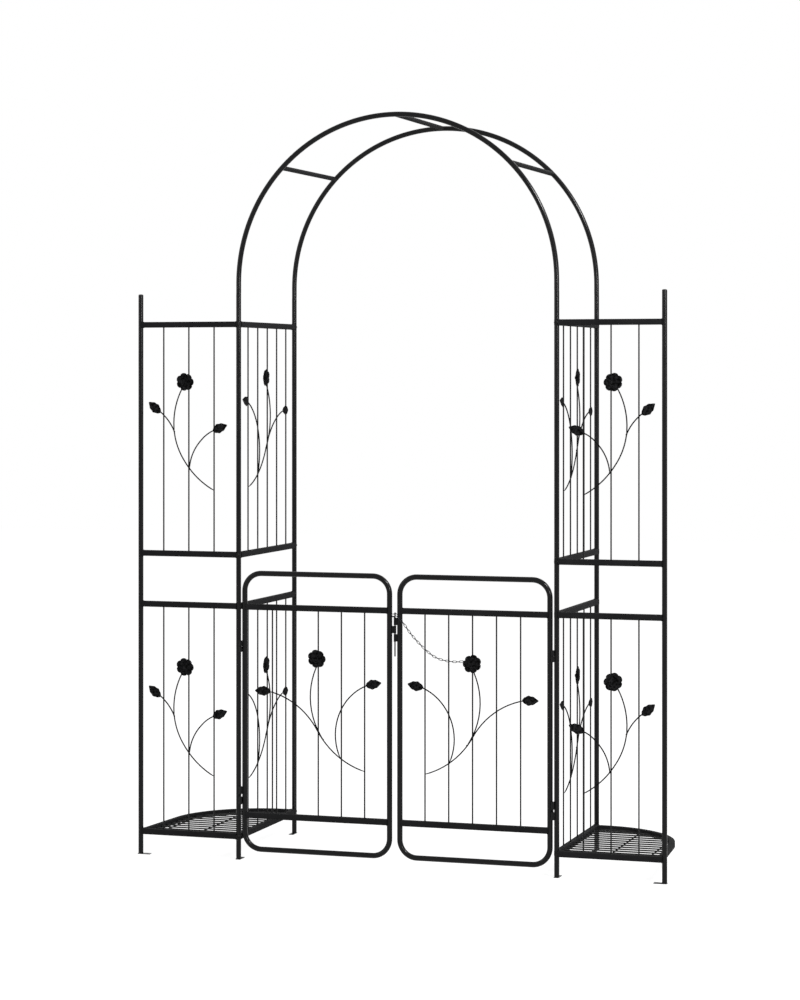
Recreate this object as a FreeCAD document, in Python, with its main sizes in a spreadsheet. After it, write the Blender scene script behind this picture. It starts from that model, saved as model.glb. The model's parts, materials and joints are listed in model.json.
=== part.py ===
import FreeCAD, Part
import math
import os

# Garden arch with a two-leaf gate between two trellis towers, each with a plant shelf.
# The origin is on the ground, midway between the inner posts and midway from front to rear.
# X runs to the right as seen from the front, Y to the rear and Z up. Sizes are in millimetres.

SIZES = {
    # posts and hoops
    "inner_spacing": 939,  # axis to axis of the posts on either side of the gate
    "tower_width": 303,  # inner post axis to outer post axis
    "arch_depth": 466,  # front post axis to rear post axis
    "post_height": 1620,
    "post_diameter": 14,
    "cap_height": 3,
    "hoop_diameter": 14,  # of the bent tube itself
    "hoop_rise": 30,  # straight leg above the post
    "spigot_diameter": 10.6,  # narrowed end of the hoop, inside the post
    "spigot_length": 40,
    "spigot_play": 0.25,
    "crossbar_diameter": 13,
    "crossbar_angle": 44,  # of the side crossbars, above the hoop's centre
    # feet
    "foot_length": 37,
    "foot_thickness": 2,
    "foot_hole": 6,
    "foot_hole_offset": 21,  # post axis to hole
    # trellis panels
    "rail_size": 16,  # square tube
    "rail_cope": 6.5,  # tube axis to the tips of a rail's coped end
    "top_rail_drop": 88.5,  # below the post's top
    "upper_bottom_rail_height": 871.5,
    "lower_top_rail_height": 724.5,
    "shelf_rail_height": 66,
    "wire_diameter": 3.6,
    "front_wire_pitch": 78,
    "front_wire_shift": 2,  # wires lie this far outward of the panel's middle
    "side_wire_pitch": 79,
    # bolts of the side panels
    "bolt_diameter": 6,
    "bolt_play": 0.25,
    "bolt_head": 12.4,  # across corners
    "bolt_head_height": 4,
    "bolt_bite": 18,  # length inside the rail
    # plant shelves
    "shelf_inset": 11.5,  # outer post axis to the middle of the rim's front end
    "shelf_bend_radius": 250,  # of the rim's middle line
    "shelf_rear_straight": 17.5,  # from the side rail to the bend
    "shelf_first_slat": 16,  # behind the front rail
    "shelf_slat_pitch": 33,
    "shelf_slat_diameter": 4,
    "shelf_slat_height": 66,
    "shelf_bearer_near": 0.46,  # shares of the tower's width
    "shelf_bearer_far": 0.825,
    # gate leaves
    "gate_tube": 15,
    "gate_hinge_gap": 4.5,  # clear between post and stile
    "gate_middle_gap": 15,  # clear between the two leaves
    "gate_top": 827.5,
    "gate_bottom": 24.5,
    "gate_corner": 50,  # bend radius of the tube's middle line
    "gate_rail_inset": 103.8,  # from the leaf's top or bottom edge
    "gate_wire_pitch": 69.3,
    "gate_wire_shift": 5,  # wires lie this far towards the middle of the gate
    # hinges
    "hinge_barrel": 10,
    "hinge_pin": 4.5,
    "hinge_standoff": 0.7,  # barrel to post and barrel to stile
    "hinge_play": 0.25,
    "upper_hinge_drop": 232.5,  # below the leaf's top
    "upper_barrel_length": 16,
    "upper_hinge_lift": 0.5,  # open between the upper barrels
    "lower_hinge_rise": 135,  # above the leaf's bottom
    "lower_barrel_length": 22,
    "lower_hinge_lift": 7,
    # latch
    "latch_eye": 7.5,
    "latch_pin": 4,
    "latch_play": 0.3,
    "latch_offset": 0.8,  # pin axis from the middle of the gate
    "latch_eye_length": 21.5,
    "latch_eye_gap": 1.5,
    "latch_drop": 190.5,  # leaf's top to the lowest eye's lower end
    "latch_pin_tail": 42.5,  # below the lowest eye
    "latch_pin_head": 14.5,  # above the highest eye
    "latch_peg_length": 11,
    "chain_wire": 1.4,
    "chain_link_length": 10.5,  # inside
    "chain_link_width": 6.4,  # outside
    "chain_link_play": 0.6,
    "chain_ring": 10.6,  # middle line of the two end rings
    # vine ornaments
    "stem_width": 2.5,
    "leaf_length": 47,
    "leaf_width": 26,
    "leaf_thickness": 2.1,
    "flower_diameter": 52,
    "flower_thickness": 3.4,
    "flower_standoff": 7.4,  # wire axis to the flower's back
    "flower_boss": 8,
    "upper_front_vine_rise": 184,  # lower rail to the stem's end
    "lower_front_vine_rise": 169,
    "upper_side_vine_rise": 193,
    "lower_side_vine_rise": 157,
    "gate_vine_rise": 140,
}

SIDES = {"left": -1, "right": 1}
TUBE_SIDES = 8  # flats round a tube
WIRE_SIDES = 6
X_AXIS = FreeCAD.Vector(1, 0, 0)
Y_AXIS = FreeCAD.Vector(0, 1, 0)
Z_AXIS = FreeCAD.Vector(0, 0, 1)
UPRIGHT = FreeCAD.Rotation()
TO_REAR = FreeCAD.Rotation(X_AXIS, -90)
TO_RIGHT = FreeCAD.Rotation(Y_AXIS, 90)
QUARTER_TURN = FreeCAD.Rotation(Z_AXIS, 90)

doc = FreeCAD.newDocument("garden_arch")
sheet = doc.addObject("Spreadsheet::Sheet", "sizes")
for row, (name, value) in enumerate(SIZES.items(), start=1):
    sheet.set(f"A{row}", name)
    sheet.set(f"B{row}", str(value))
    sheet.setAlias(f"B{row}", name)
doc.recompute()

nodes = []


def size(name):
    return float(getattr(sheet, name))


# Expressions that several pieces share
HALF_SPAN = "sizes.inner_spacing / 2"
OUTER_SPAN = "(sizes.inner_spacing / 2 + sizes.tower_width)"
FRONT = "(-sizes.arch_depth / 2)"
REAR = "(sizes.arch_depth / 2)"
POST_R = "sizes.post_diameter / 2"
HOOP_R = "sizes.hoop_diameter / 2"
STILE_R = "sizes.gate_tube / 2"
RAIL_HALF = "sizes.rail_size / 2"
RAIL_HEIGHTS = {
    "upper_high": "(sizes.post_height - sizes.top_rail_drop)",
    "upper_low": "sizes.upper_bottom_rail_height",
    "lower_high": "sizes.lower_top_rail_height",
    "lower_low": "sizes.shelf_rail_height",
}
BOLTED_RAILS = ("upper_high", "upper_low", "lower_low")


def primitive(kind, label, spans, at, rotation=UPRIGHT):
    """A Part primitive with its sizes and its place bound to the sheet."""
    item = doc.addObject(kind, label)
    item.Placement = FreeCAD.Placement(FreeCAD.Vector(), rotation)
    for name, expression in spans.items():
        item.setExpression(name, expression)
    for axis, expression in zip("xyz", at):
        item.setExpression("Placement.Base." + axis, expression)
    return item


def box(label, length, width, height, middle):
    """A box placed by its middle."""
    spans = {"Length": length, "Width": width, "Height": height}
    corner = [f"({m}) - ({s}) / 2" for m, s in zip(middle, spans.values())]
    return primitive("Part::Box", label, spans, corner)


def corner_radius(radius, sides):
    """Expression for the corners of a polygon whose flats touch a circle of this radius."""
    return f"({radius}) / cos(180 deg / {sides})"


def bar(label, sides, radius, length, at, rotation=UPRIGHT, turned=True):
    """A straight bar with flats that touch the round tube or wire it stands for."""
    half_step = FreeCAD.Rotation(Z_AXIS, 180 / sides if turned else 0)
    spans = {"Circumradius": corner_radius(radius, sides), "Height": length}
    item = primitive("Part::Prism", label, spans, at, rotation * half_step)
    item.Polygon = sides
    return item


def hexagon(label, radius, length, at):
    """A hexagonal bar towards the rear, for bolts and their holes."""
    item = primitive("Part::Prism", label, {"Circumradius": radius, "Height": length}, at, TO_REAR)
    item.Polygon = 6
    return item


def bend(label, radius, start, centre, turn, degrees):
    """A tube bend: a polygon at start, turned about an axis along Y through centre."""
    half_step = FreeCAD.Rotation(Z_AXIS, 180 / TUBE_SIDES)
    spans = {"Circumradius": corner_radius(radius, TUBE_SIDES)}
    ring = primitive("Part::RegularPolygon", label + "_section", spans, start, half_step)
    ring.Polygon = TUBE_SIDES
    item = doc.addObject("Part::Revolution", label)
    item.Source = ring
    item.Axis = FreeCAD.Vector(0, turn, 0)
    item.Angle = degrees
    item.Solid = True
    for axis, expression in zip("xyz", centre):
        item.setExpression("Base." + axis, expression)
    return item


def fuse(label, items):
    item = doc.addObject("Part::MultiFuse", label)
    item.Shapes = items
    return item


def cut(label, base, tools):
    item = doc.addObject("Part::Cut", label)
    item.Base = base
    item.Tool = tools[0] if len(tools) == 1 else fuse(label + "_tools", tools)
    return item


def node(item):
    nodes.append(item)
    return item


def group(label, items):
    """Separate solids that share one node."""
    item = doc.addObject("Part::Compound", label)
    item.Links = items
    return node(item)


def feature(label, shape):
    """A shape that no primitive fits, made from the sheet's values."""
    item = doc.addObject("Part::Feature", label)
    item.Shape = shape
    return item


# Posts: sockets at the top for the hoops, cross holes for the panel bolts
def inner_post(label, x, y):
    height = "sizes.post_height - sizes.foot_thickness"
    body = bar(label + "_tube", TUBE_SIDES, POST_R, height, (x, y, "sizes.foot_thickness"))
    socket_radius = "sizes.spigot_diameter / 2 + sizes.spigot_play"
    socket_base = "sizes.post_height - sizes.spigot_length - 1"
    depth = "sizes.spigot_length + 2"
    tools = [bar(label + "_socket", TUBE_SIDES, socket_radius, depth, (x, y, socket_base))]
    for level in BOLTED_RAILS:
        at = (x, f"{y} - {POST_R} - 1", RAIL_HEIGHTS[level])
        radius = "sizes.bolt_diameter / 2 + sizes.bolt_play"
        tools.append(hexagon(f"{label}_{level}_hole", radius, "sizes.post_diameter + 2", at))
    return node(cut(label, body, tools))


caps = []
for side, sign in SIDES.items():
    inner_post(f"{side}_front_post", f"{sign} * {HALF_SPAN}", FRONT)
    inner_post(f"{side}_rear_post", f"{sign} * {HALF_SPAN}", REAR)
    outer_x = f"{sign} * {OUTER_SPAN}"
    height = "sizes.post_height - sizes.foot_thickness - sizes.cap_height"
    node(bar(f"{side}_outer_post", TUBE_SIDES, POST_R, height, (outer_x, FRONT, "sizes.foot_thickness")))
    cap_at = (outer_x, FRONT, "sizes.post_height - sizes.cap_height")
    caps.append(bar(f"{side}_cap", TUBE_SIDES, POST_R, "sizes.cap_height", cap_at))
group("outer_post_caps", caps)

# Feet: a flat tab under each post with an anchor hole
FOOT_REACH = "(sizes.foot_length / 2 - sizes.post_diameter / 2)"


def foot(label, x, y, inward_x, inward_y):
    middle_x = f"{x} + {inward_x} * {FOOT_REACH}"
    middle_y = f"{y} + {inward_y} * {FOOT_REACH}"
    length = "sizes.foot_length" if inward_x else "sizes.post_diameter"
    width = "sizes.foot_length" if inward_y else "sizes.post_diameter"
    middle = (middle_x, middle_y, "sizes.foot_thickness / 2")
    tab = box(label + "_tab", length, width, "sizes.foot_thickness", middle)
    hole_x = f"{x} + {inward_x} * sizes.foot_hole_offset"
    hole_y = f"{y} + {inward_y} * sizes.foot_hole_offset"
    spans = {"Radius": "sizes.foot_hole / 2", "Height": "sizes.foot_thickness + 2"}
    return cut(label, tab, [primitive("Part::Cylinder", label + "_hole", spans, (hole_x, hole_y, "-1"))])


for side, sign in SIDES.items():
    group(f"{side}_feet", [
        foot(f"{side}_outer_foot", f"{sign} * {OUTER_SPAN}", FRONT, -sign, 0),
        foot(f"{side}_front_foot", f"{sign} * {HALF_SPAN}", FRONT, 0, 1),
        foot(f"{side}_rear_foot", f"{sign} * {HALF_SPAN}", REAR, 0, -1),
    ])

# Hoops: a half-round bend, two straight legs and the spigots that drop into the posts
HOOP_CENTRE = "(sizes.post_height + sizes.hoop_rise)"

for label, y in (("front_hoop", FRONT), ("rear_hoop", REAR)):
    pieces = [bend(label + "_bend", HOOP_R, (HALF_SPAN, y, HOOP_CENTRE), ("0", y, HOOP_CENTRE), -1, 180)]
    for side, sign in SIDES.items():
        x = f"{sign} * {HALF_SPAN}"
        leg_at = (x, y, "sizes.post_height")
        pieces.append(bar(f"{label}_{side}_leg", TUBE_SIDES, HOOP_R, "sizes.hoop_rise", leg_at))
        spigot_at = (x, y, "sizes.post_height - sizes.spigot_length")
        radius = "sizes.spigot_diameter / 2"
        pieces.append(bar(f"{label}_{side}_spigot", TUBE_SIDES, radius, "sizes.spigot_length", spigot_at))
    node(fuse(label, pieces))


def crossbar(label, across, up):
    """A straight tube from the front hoop to the rear one."""
    at = (across, f"{FRONT} + {HOOP_R}", f"{HOOP_CENTRE} + {up}")
    length = "sizes.arch_depth - sizes.hoop_diameter"
    return node(bar(label, TUBE_SIDES, "sizes.crossbar_diameter / 2", length, at, TO_REAR))


for side, sign in SIDES.items():
    across = f"{sign} * {HALF_SPAN} * cos(sizes.crossbar_angle * 1 deg)"
    crossbar(f"{side}_crossbar", across, f"{HALF_SPAN} * sin(sizes.crossbar_angle * 1 deg)")
crossbar("top_crossbar", "0", HALF_SPAN)

# Trellis panels: square rails coped round the posts, with wires from rail to rail
COPE_HEIGHT = "sizes.rail_size + 2"


def cope(label, radius, x, y, height):
    return bar(label, TUBE_SIDES, radius, COPE_HEIGHT, (x, y, f"{height} - {RAIL_HALF} - 1"))


def front_rail(label, sign, height):
    inner_x = f"{sign} * {HALF_SPAN}"
    outer_x = f"{sign} * {OUTER_SPAN}"
    middle = (f"{sign} * ({HALF_SPAN} + sizes.tower_width / 2)", FRONT, height)
    length = "sizes.tower_width - 2 * sizes.rail_cope"
    tube = box(label + "_tube", length, "sizes.rail_size", "sizes.rail_size", middle)
    corner_middle = (inner_x, f"{FRONT} + sizes.rail_cope + {RAIL_HALF}", height)
    return cut(label, tube, [
        cope(label + "_inner_cope", POST_R, inner_x, FRONT, height),
        cope(label + "_outer_cope", POST_R, outer_x, FRONT, height),
        box(label + "_corner", "sizes.rail_size", "sizes.rail_size", COPE_HEIGHT, corner_middle),
    ])


def side_rail(label, sign, height, bolted):
    x = f"{sign} * {HALF_SPAN}"
    length = "sizes.arch_depth - 2 * sizes.rail_cope"
    tube = box(label + "_tube", "sizes.rail_size", length, "sizes.rail_size", (x, "0", height))
    tools = [
        cope(label + "_front_cope", POST_R, x, FRONT, height),
        cope(label + "_rear_cope", POST_R, x, REAR, height),
    ]
    if bolted:
        radius = "sizes.bolt_diameter / 2 + sizes.bolt_play"
        depth = "sizes.bolt_bite + 2"
        rear_start = f"{REAR} - {POST_R} - sizes.bolt_bite - 1"
        front_start = f"{FRONT} + {POST_R} - 1"
        tools.append(hexagon(label + "_front_hole", radius, depth, (x, front_start, height)))
        tools.append(hexagon(label + "_rear_hole", radius, depth, (x, rear_start, height)))
    return cut(label, tube, tools)


def wire(label, x, y, high, low, facing_side=False):
    """An upright wire between two rails, with a flat towards the panel's face."""
    length = f"{high} - {low} - sizes.rail_size"
    at = (x, y, f"{low} + {RAIL_HALF}")
    return bar(label, WIRE_SIDES, "sizes.wire_diameter / 2", length, at, turned=facing_side)


for side, sign in SIDES.items():
    front_wires, side_wires = [], []
    for level in ("upper", "lower"):
        high, low = RAIL_HEIGHTS[level + "_high"], RAIL_HEIGHTS[level + "_low"]
        front, flank = f"{side}_front_{level}", f"{side}_side_{level}"
        group(front + "_rails", [
            front_rail(front + "_high_rail", sign, high),
            front_rail(front + "_low_rail", sign, low),
        ])
        for step in (-1, 0, 1):
            shift = f"sizes.front_wire_shift + {step} * sizes.front_wire_pitch"
            x = f"{sign} * ({HALF_SPAN} + sizes.tower_width / 2 + {shift})"
            front_wires.append(wire(f"{front}_wire_{step + 2}", x, FRONT, high, low))
        group(flank + "_rails", [
            side_rail(flank + "_high_rail", sign, high, level + "_high" in BOLTED_RAILS),
            side_rail(flank + "_low_rail", sign, low, level + "_low" in BOLTED_RAILS),
        ])
        for step in (-2, -1, 0, 1, 2):
            x, y = f"{sign} * {HALF_SPAN}", f"{step} * sizes.side_wire_pitch"
            side_wires.append(wire(f"{flank}_wire_{step + 3}", x, y, high, low, facing_side=True))
    group(f"{side}_front_wires", front_wires)
    group(f"{side}_side_wires", side_wires)

# Bolts through the inner posts into the side rails, heads at the front and at the rear
SHANK = "(sizes.post_diameter + sizes.bolt_bite)"
bolts = []
for side, sign in SIDES.items():
    x = f"{sign} * {HALF_SPAN}"
    front_seat = f"{FRONT} - {POST_R}"
    rear_seat = f"{REAR} + {POST_R}"
    starts = {
        "front": (f"{front_seat} - sizes.bolt_head_height", front_seat),
        "rear": (rear_seat, f"{rear_seat} - {SHANK}"),
    }
    for level in BOLTED_RAILS:
        z = RAIL_HEIGHTS[level]
        for end, (head_start, shank_start) in starts.items():
            name = f"{side}_{end}_{level}_bolt"
            head_height = "sizes.bolt_head_height"
            head = hexagon(name + "_head", "sizes.bolt_head / 2", head_height, (x, head_start, z))
            shank = hexagon(name + "_shank", "sizes.bolt_diameter / 2", SHANK, (x, shank_start, z))
            bolts.append(fuse(name, [head, shank]))
group("side_panel_bolts", bolts)

# Plant shelves: a rim of bent square tube from the front rail to the side rail, with slats and the
# bearers under them. The rim's leg leans in from its front end to where the bend takes over.
SHELF_START = f"({HALF_SPAN} + {RAIL_HALF})"
SHELF_FRONT = f"({FRONT} + {RAIL_HALF})"
RIM_FRONT_X = f"({OUTER_SPAN} - sizes.shelf_inset)"
RIM_REAR = f"({REAR} - {POST_R} - {RAIL_HALF})"
BEND_X = f"({SHELF_START} + sizes.shelf_rear_straight)"
BEND_Y = f"({RIM_REAR} - sizes.shelf_bend_radius)"
RIM_INSIDE = f"(sizes.shelf_bend_radius - {RAIL_HALF})"
LEG_ACROSS = f"({RIM_FRONT_X} - {BEND_X})"
LEG_DEPTH = f"({BEND_Y} - {SHELF_FRONT})"
LEG_REACH = f"sqrt({LEG_ACROSS} ^ 2 + {LEG_DEPTH} ^ 2)"
LEAN = f"(atan({LEG_ACROSS} / {LEG_DEPTH}) - asin(sizes.shelf_bend_radius / {LEG_REACH}))"
SLAT_R = "sizes.shelf_slat_diameter / 2"
SLAT_CORNER = corner_radius(SLAT_R, WIRE_SIDES)


def leaning(item):
    item.setExpression("Placement.Rotation.Angle", LEAN)
    return item


def shelf_frame(name):
    height = "sizes.shelf_rail_height"
    centre = (BEND_X, BEND_Y, f"{height} - {RAIL_HALF}")
    sector = {"Height": "sizes.rail_size", "Angle": f"90 deg - {LEAN}"}
    outside = {"Radius": f"sizes.shelf_bend_radius + {RAIL_HALF}", **sector}
    disc = leaning(primitive("Part::Cylinder", name + "_bend_outside", outside, centre))
    inside = {"Radius": RIM_INSIDE, **sector}
    core = leaning(primitive("Part::Cylinder", name + "_bend_inside", inside, centre))
    length = f"(sqrt({LEG_REACH} ^ 2 - sizes.shelf_bend_radius ^ 2) + {RAIL_HALF})"
    spans = {"Length": "sizes.rail_size", "Width": length, "Height": "sizes.rail_size"}
    corner = (
        f"{BEND_X} + {RIM_INSIDE} * cos({LEAN}) + {length} * sin({LEAN})",
        f"{BEND_Y} + {RIM_INSIDE} * sin({LEAN}) - {length} * cos({LEAN})",
        f"{height} - {RAIL_HALF}",
    )
    leg = leaning(primitive("Part::Box", name + "_leg", spans, corner))
    straight = "sizes.shelf_rear_straight"
    middle = (f"{SHELF_START} + {straight} / 2", RIM_REAR, height)
    end = box(name + "_rear_end", straight, "sizes.rail_size", "sizes.rail_size", middle)
    before = (RIM_FRONT_X, f"{SHELF_FRONT} - {RAIL_HALF}", height)
    return node(cut(name + "_frame", fuse(name + "_tube", [cut(name + "_bend", disc, [core]), leg, end]), [
        box(name + "_front_face", "4 * sizes.rail_size", "sizes.rail_size", COPE_HEIGHT, before),
        cope(name + "_post_cope", POST_R, OUTER_SPAN, FRONT, height),
    ]))


def shelf_slats(name):
    pieces = []
    half_depth = size("arch_depth") / 2
    first = -half_depth + size("rail_size") / 2 + size("shelf_first_slat")
    last = half_depth - size("post_diameter") / 2 - size("rail_size")
    count = int((last - first - size("shelf_slat_diameter")) / size("shelf_slat_pitch"))
    for step in range(count + 1):
        y = f"({SHELF_FRONT} + sizes.shelf_first_slat + {step} * sizes.shelf_slat_pitch)"
        rise = f"({y} + {SLAT_CORNER} - {BEND_Y})"
        to_leg = f"({RIM_INSIDE} - {rise} * sin({LEAN})) / cos({LEAN})"
        to_bend = f"sqrt({RIM_INSIDE} ^ 2 - {rise} ^ 2)"
        reach = f"({rise} > {RIM_INSIDE} * sin({LEAN}) ? {to_bend} : {to_leg})"
        at = (SHELF_START, y, "sizes.shelf_slat_height")
        length = f"{BEND_X} + {reach} - {SHELF_START}"
        pieces.append(bar(f"{name}_slat_{step + 1}", WIRE_SIDES, SLAT_R, length, at, TO_RIGHT))
    for place in ("near", "far"):
        x = f"({HALF_SPAN} + sizes.shelf_bearer_{place} * sizes.tower_width)"
        across = f"({x} + {SLAT_CORNER} - {BEND_X})"
        to_leg = f"({RIM_INSIDE} - {across} * cos({LEAN})) / sin({LEAN})"
        to_bend = f"sqrt({RIM_INSIDE} ^ 2 - {across} ^ 2)"
        reach = f"({across} > {RIM_INSIDE} * cos({LEAN}) ? {to_leg} : {to_bend})"
        at = (x, SHELF_FRONT, "sizes.shelf_slat_height - sizes.shelf_slat_diameter")
        length = f"{BEND_Y} + {reach} - {SHELF_FRONT}"
        pieces.append(bar(f"{name}_{place}_bearer", WIRE_SIDES, SLAT_R, length, at, TO_REAR, turned=False))
    return group(name + "_slats", pieces)


for right_half in (shelf_frame("right_shelf"), shelf_slats("right_shelf")):
    left_half = doc.addObject("Part::Mirroring", right_half.Label.replace("right", "left"))
    left_half.Source = right_half
    left_half.Normal = X_AXIS
    node(left_half)

# Gate leaves: a round-cornered tube frame, two square rails and five wires
HINGE_STILE = f"({HALF_SPAN} - {POST_R} - sizes.gate_hinge_gap - {STILE_R})"
MEETING_STILE = f"(sizes.gate_middle_gap / 2 + {STILE_R})"
GATE_HIGH = f"(sizes.gate_top - {STILE_R})"
GATE_LOW = f"(sizes.gate_bottom + {STILE_R})"
GATE_RAILS = {
    "upper": "(sizes.gate_top - sizes.gate_rail_inset)",
    "lower": "(sizes.gate_bottom + sizes.gate_rail_inset)",
}


def gate_frame(name, sign):
    pieces = []
    stiles = {"hinge": (HINGE_STILE, 1), "meeting": (MEETING_STILE, -1)}
    stile_length = f"{GATE_HIGH} - {GATE_LOW} - 2 * sizes.gate_corner"
    for stile, (distance, _) in stiles.items():
        at = (f"{sign} * {distance}", FRONT, f"{GATE_LOW} + sizes.gate_corner")
        pieces.append(bar(f"{name}_{stile}_stile", TUBE_SIDES, STILE_R, stile_length, at))
    across = f"({HINGE_STILE} - {MEETING_STILE} - 2 * sizes.gate_corner)"
    near_end = f"({MEETING_STILE} + sizes.gate_corner)"
    start_x = near_end if sign > 0 else f"-({near_end} + {across})"
    for level, z, up in (("top", GATE_HIGH, 1), ("bottom", GATE_LOW, -1)):
        label = f"{name}_{level}"
        pieces.append(bar(label + "_tube", TUBE_SIDES, STILE_R, across, (start_x, FRONT, z), TO_RIGHT))
        for stile, (distance, outward) in stiles.items():
            centre_x = f"{sign} * ({distance} - {outward} * sizes.gate_corner)"
            centre_z = f"{z} - {up} * sizes.gate_corner"
            start = (f"{sign} * {distance}", FRONT, centre_z)
            centre = (centre_x, FRONT, centre_z)
            turn = -up * outward * sign
            pieces.append(bend(f"{label}_{stile}_bend", STILE_R, start, centre, turn, 90))
    return node(fuse(name, pieces))


def gate_rail(label, sign, height):
    length = f"{HINGE_STILE} - {MEETING_STILE} - 2 * sizes.rail_cope"
    middle = (f"{sign} * ({HINGE_STILE} + {MEETING_STILE}) / 2", FRONT, height)
    tube = box(label + "_tube", length, "sizes.rail_size", "sizes.rail_size", middle)
    return cut(label, tube, [
        cope(f"{label}_{end}_cope", STILE_R, f"{sign} * {distance}", FRONT, height)
        for end, distance in (("hinge", HINGE_STILE), ("meeting", MEETING_STILE))
    ])


for side, sign in SIDES.items():
    gate_frame(f"{side}_gate_frame", sign)
    gate_rails = [gate_rail(f"{side}_gate_{level}_rail", sign, z) for level, z in GATE_RAILS.items()]
    group(f"{side}_gate_rails", gate_rails)
    wires = []
    for step in (-2, -1, 0, 1, 2):
        shift = f"sizes.gate_wire_shift + {step} * sizes.gate_wire_pitch"
        x = f"{sign} * (({HINGE_STILE} + {MEETING_STILE}) / 2 - ({shift}))"
        high, low = GATE_RAILS["upper"], GATE_RAILS["lower"]
        wires.append(wire(f"{side}_gate_wire_{step + 3}", x, FRONT, high, low))
    group(f"{side}_gate_wires", wires)

# Measures for the shapes that are made from points
half_span = size("inner_spacing") / 2
front_y = -size("arch_depth") / 2
post_radius = size("post_diameter") / 2
stile_radius = size("gate_tube") / 2
hinge_stile = half_span - post_radius - size("gate_hinge_gap") - stile_radius
meeting_stile = size("gate_middle_gap") / 2 + stile_radius
leaf_middle = (hinge_stile + meeting_stile) / 2
gate_high_rail = size("gate_top") - size("gate_rail_inset")
gate_low_rail = size("gate_bottom") + size("gate_rail_inset")
panel_rails = {
    "upper": (size("post_height") - size("top_rail_drop"), size("upper_bottom_rail_height")),
    "lower": (size("lower_top_rail_height"), size("shelf_rail_height")),
}


def column(radius, base, height):
    """An upright bar of polygonal section standing on base, its flats touching a circle."""
    corners = []
    for step in range(TUBE_SIDES + 1):
        angle = 2 * math.pi * (step + 0.5) / TUBE_SIDES
        reach = radius / math.cos(math.pi / TUBE_SIDES)
        corners.append(base + FreeCAD.Vector(reach * math.cos(angle), reach * math.sin(angle), 0))
    return Part.Face(Part.makePolygon(corners)).extrude(Z_AXIS * height)


def web(start, toward, reach, width, height):
    """An upright plate from start, reaching towards a point."""
    along = FreeCAD.Vector(toward.x - start.x, toward.y - start.y, 0).normalize()
    across = FreeCAD.Vector(-along.y, along.x, 0) * (width / 2)
    end = start + along * reach
    corners = [start - across, end - across, end + across, start + across]
    return Part.Face(Part.makePolygon(corners + corners[:1])).extrude(Z_AXIS * height)


# Hinges: barrels in the valley in front of post and stile, the pin fixed in the post's barrel
WEB_WIDTH = 4


def hinge_axis(sign):
    """Where a barrel stands equally clear of post and stile, in front of both."""
    clear = size("hinge_barrel") / 2 + size("hinge_standoff")
    post_reach = post_radius + clear
    stile_reach = stile_radius + clear
    apart = post_radius + size("gate_hinge_gap") + stile_radius
    inward = (apart**2 + post_reach**2 - stile_reach**2) / (2 * apart)
    forward = math.sqrt(post_reach**2 - inward**2)
    return sign * (half_span - inward), front_y - forward


def barrel(axis, tube_middle, tube_radius, base, length, bore):
    """A hinge barrel with its web on the tube that carries it. A bore of 0 leaves it solid."""
    stand = FreeCAD.Vector(*axis, base)
    tube_foot = FreeCAD.Vector(tube_middle, front_y, base)
    outer = size("hinge_barrel") / 2
    body = column(outer, stand, length).fuse(web(stand, tube_foot, outer + tube_radius, WEB_WIDTH, length))
    body = body.cut(column(tube_radius, tube_foot, length))
    if bore:
        body = body.cut(column(bore, stand, length))
    return body.removeSplitter()


for side, sign in SIDES.items():
    axis = hinge_axis(sign)
    pin_radius = size("hinge_pin") / 2
    bore = pin_radius + size("hinge_play")
    bases = {
        "upper": size("gate_top") - size("upper_hinge_drop"),
        "lower": size("gate_bottom") + size("lower_hinge_rise"),
    }
    fixed, moving = [], []
    for level, base in bases.items():
        length = size(f"{level}_barrel_length")
        lift = size(f"{level}_hinge_lift")
        post = barrel(axis, sign * half_span, post_radius, base, length, 0)
        pin = Part.makeCylinder(pin_radius, lift + length, FreeCAD.Vector(*axis, base + length))
        raised = base + length + lift
        stile = barrel(axis, sign * hinge_stile, stile_radius, raised, length, bore)
        fixed.append(feature(f"{side}_{level}_post_barrel", post.fuse(pin)))
        moving.append(feature(f"{side}_{level}_gate_barrel", stile))
    group(f"{side}_post_hinges", fixed)
    group(f"{side}_gate_hinges", moving)

# Latch: one eye on the left leaf between two on the right leaf, and a drop pin through all three
EYE_WEB_WIDTH = 3
PEG_TILT = math.radians(10)  # above level
PEG_TURN = math.radians(60)  # from the left towards the front
latch_x = size("latch_offset")
latch_bottom = size("gate_top") - size("latch_drop")
eye_length = size("latch_eye_length")
eye_step = eye_length + size("latch_eye_gap")
eyes_top = latch_bottom + 2 * eye_step + eye_length


def latch_eye(label, sign, place):
    base = FreeCAD.Vector(latch_x, front_y, latch_bottom + place * eye_step)
    stile = FreeCAD.Vector(sign * meeting_stile, front_y, base.z)
    reach = abs(stile.x - latch_x) - stile_radius
    body = column(size("latch_eye") / 2, base, eye_length)
    body = body.fuse(web(base, stile, reach, EYE_WEB_WIDTH, eye_length))
    bore = size("latch_pin") / 2 + size("latch_play")
    return feature(label, body.cut(column(bore, base, eye_length)).removeSplitter())


node(latch_eye("left_latch_eye", -1, 1))
group("right_latch_eyes", [
    latch_eye("right_lower_latch_eye", 1, 0),
    latch_eye("right_upper_latch_eye", 1, 2),
])

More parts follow.
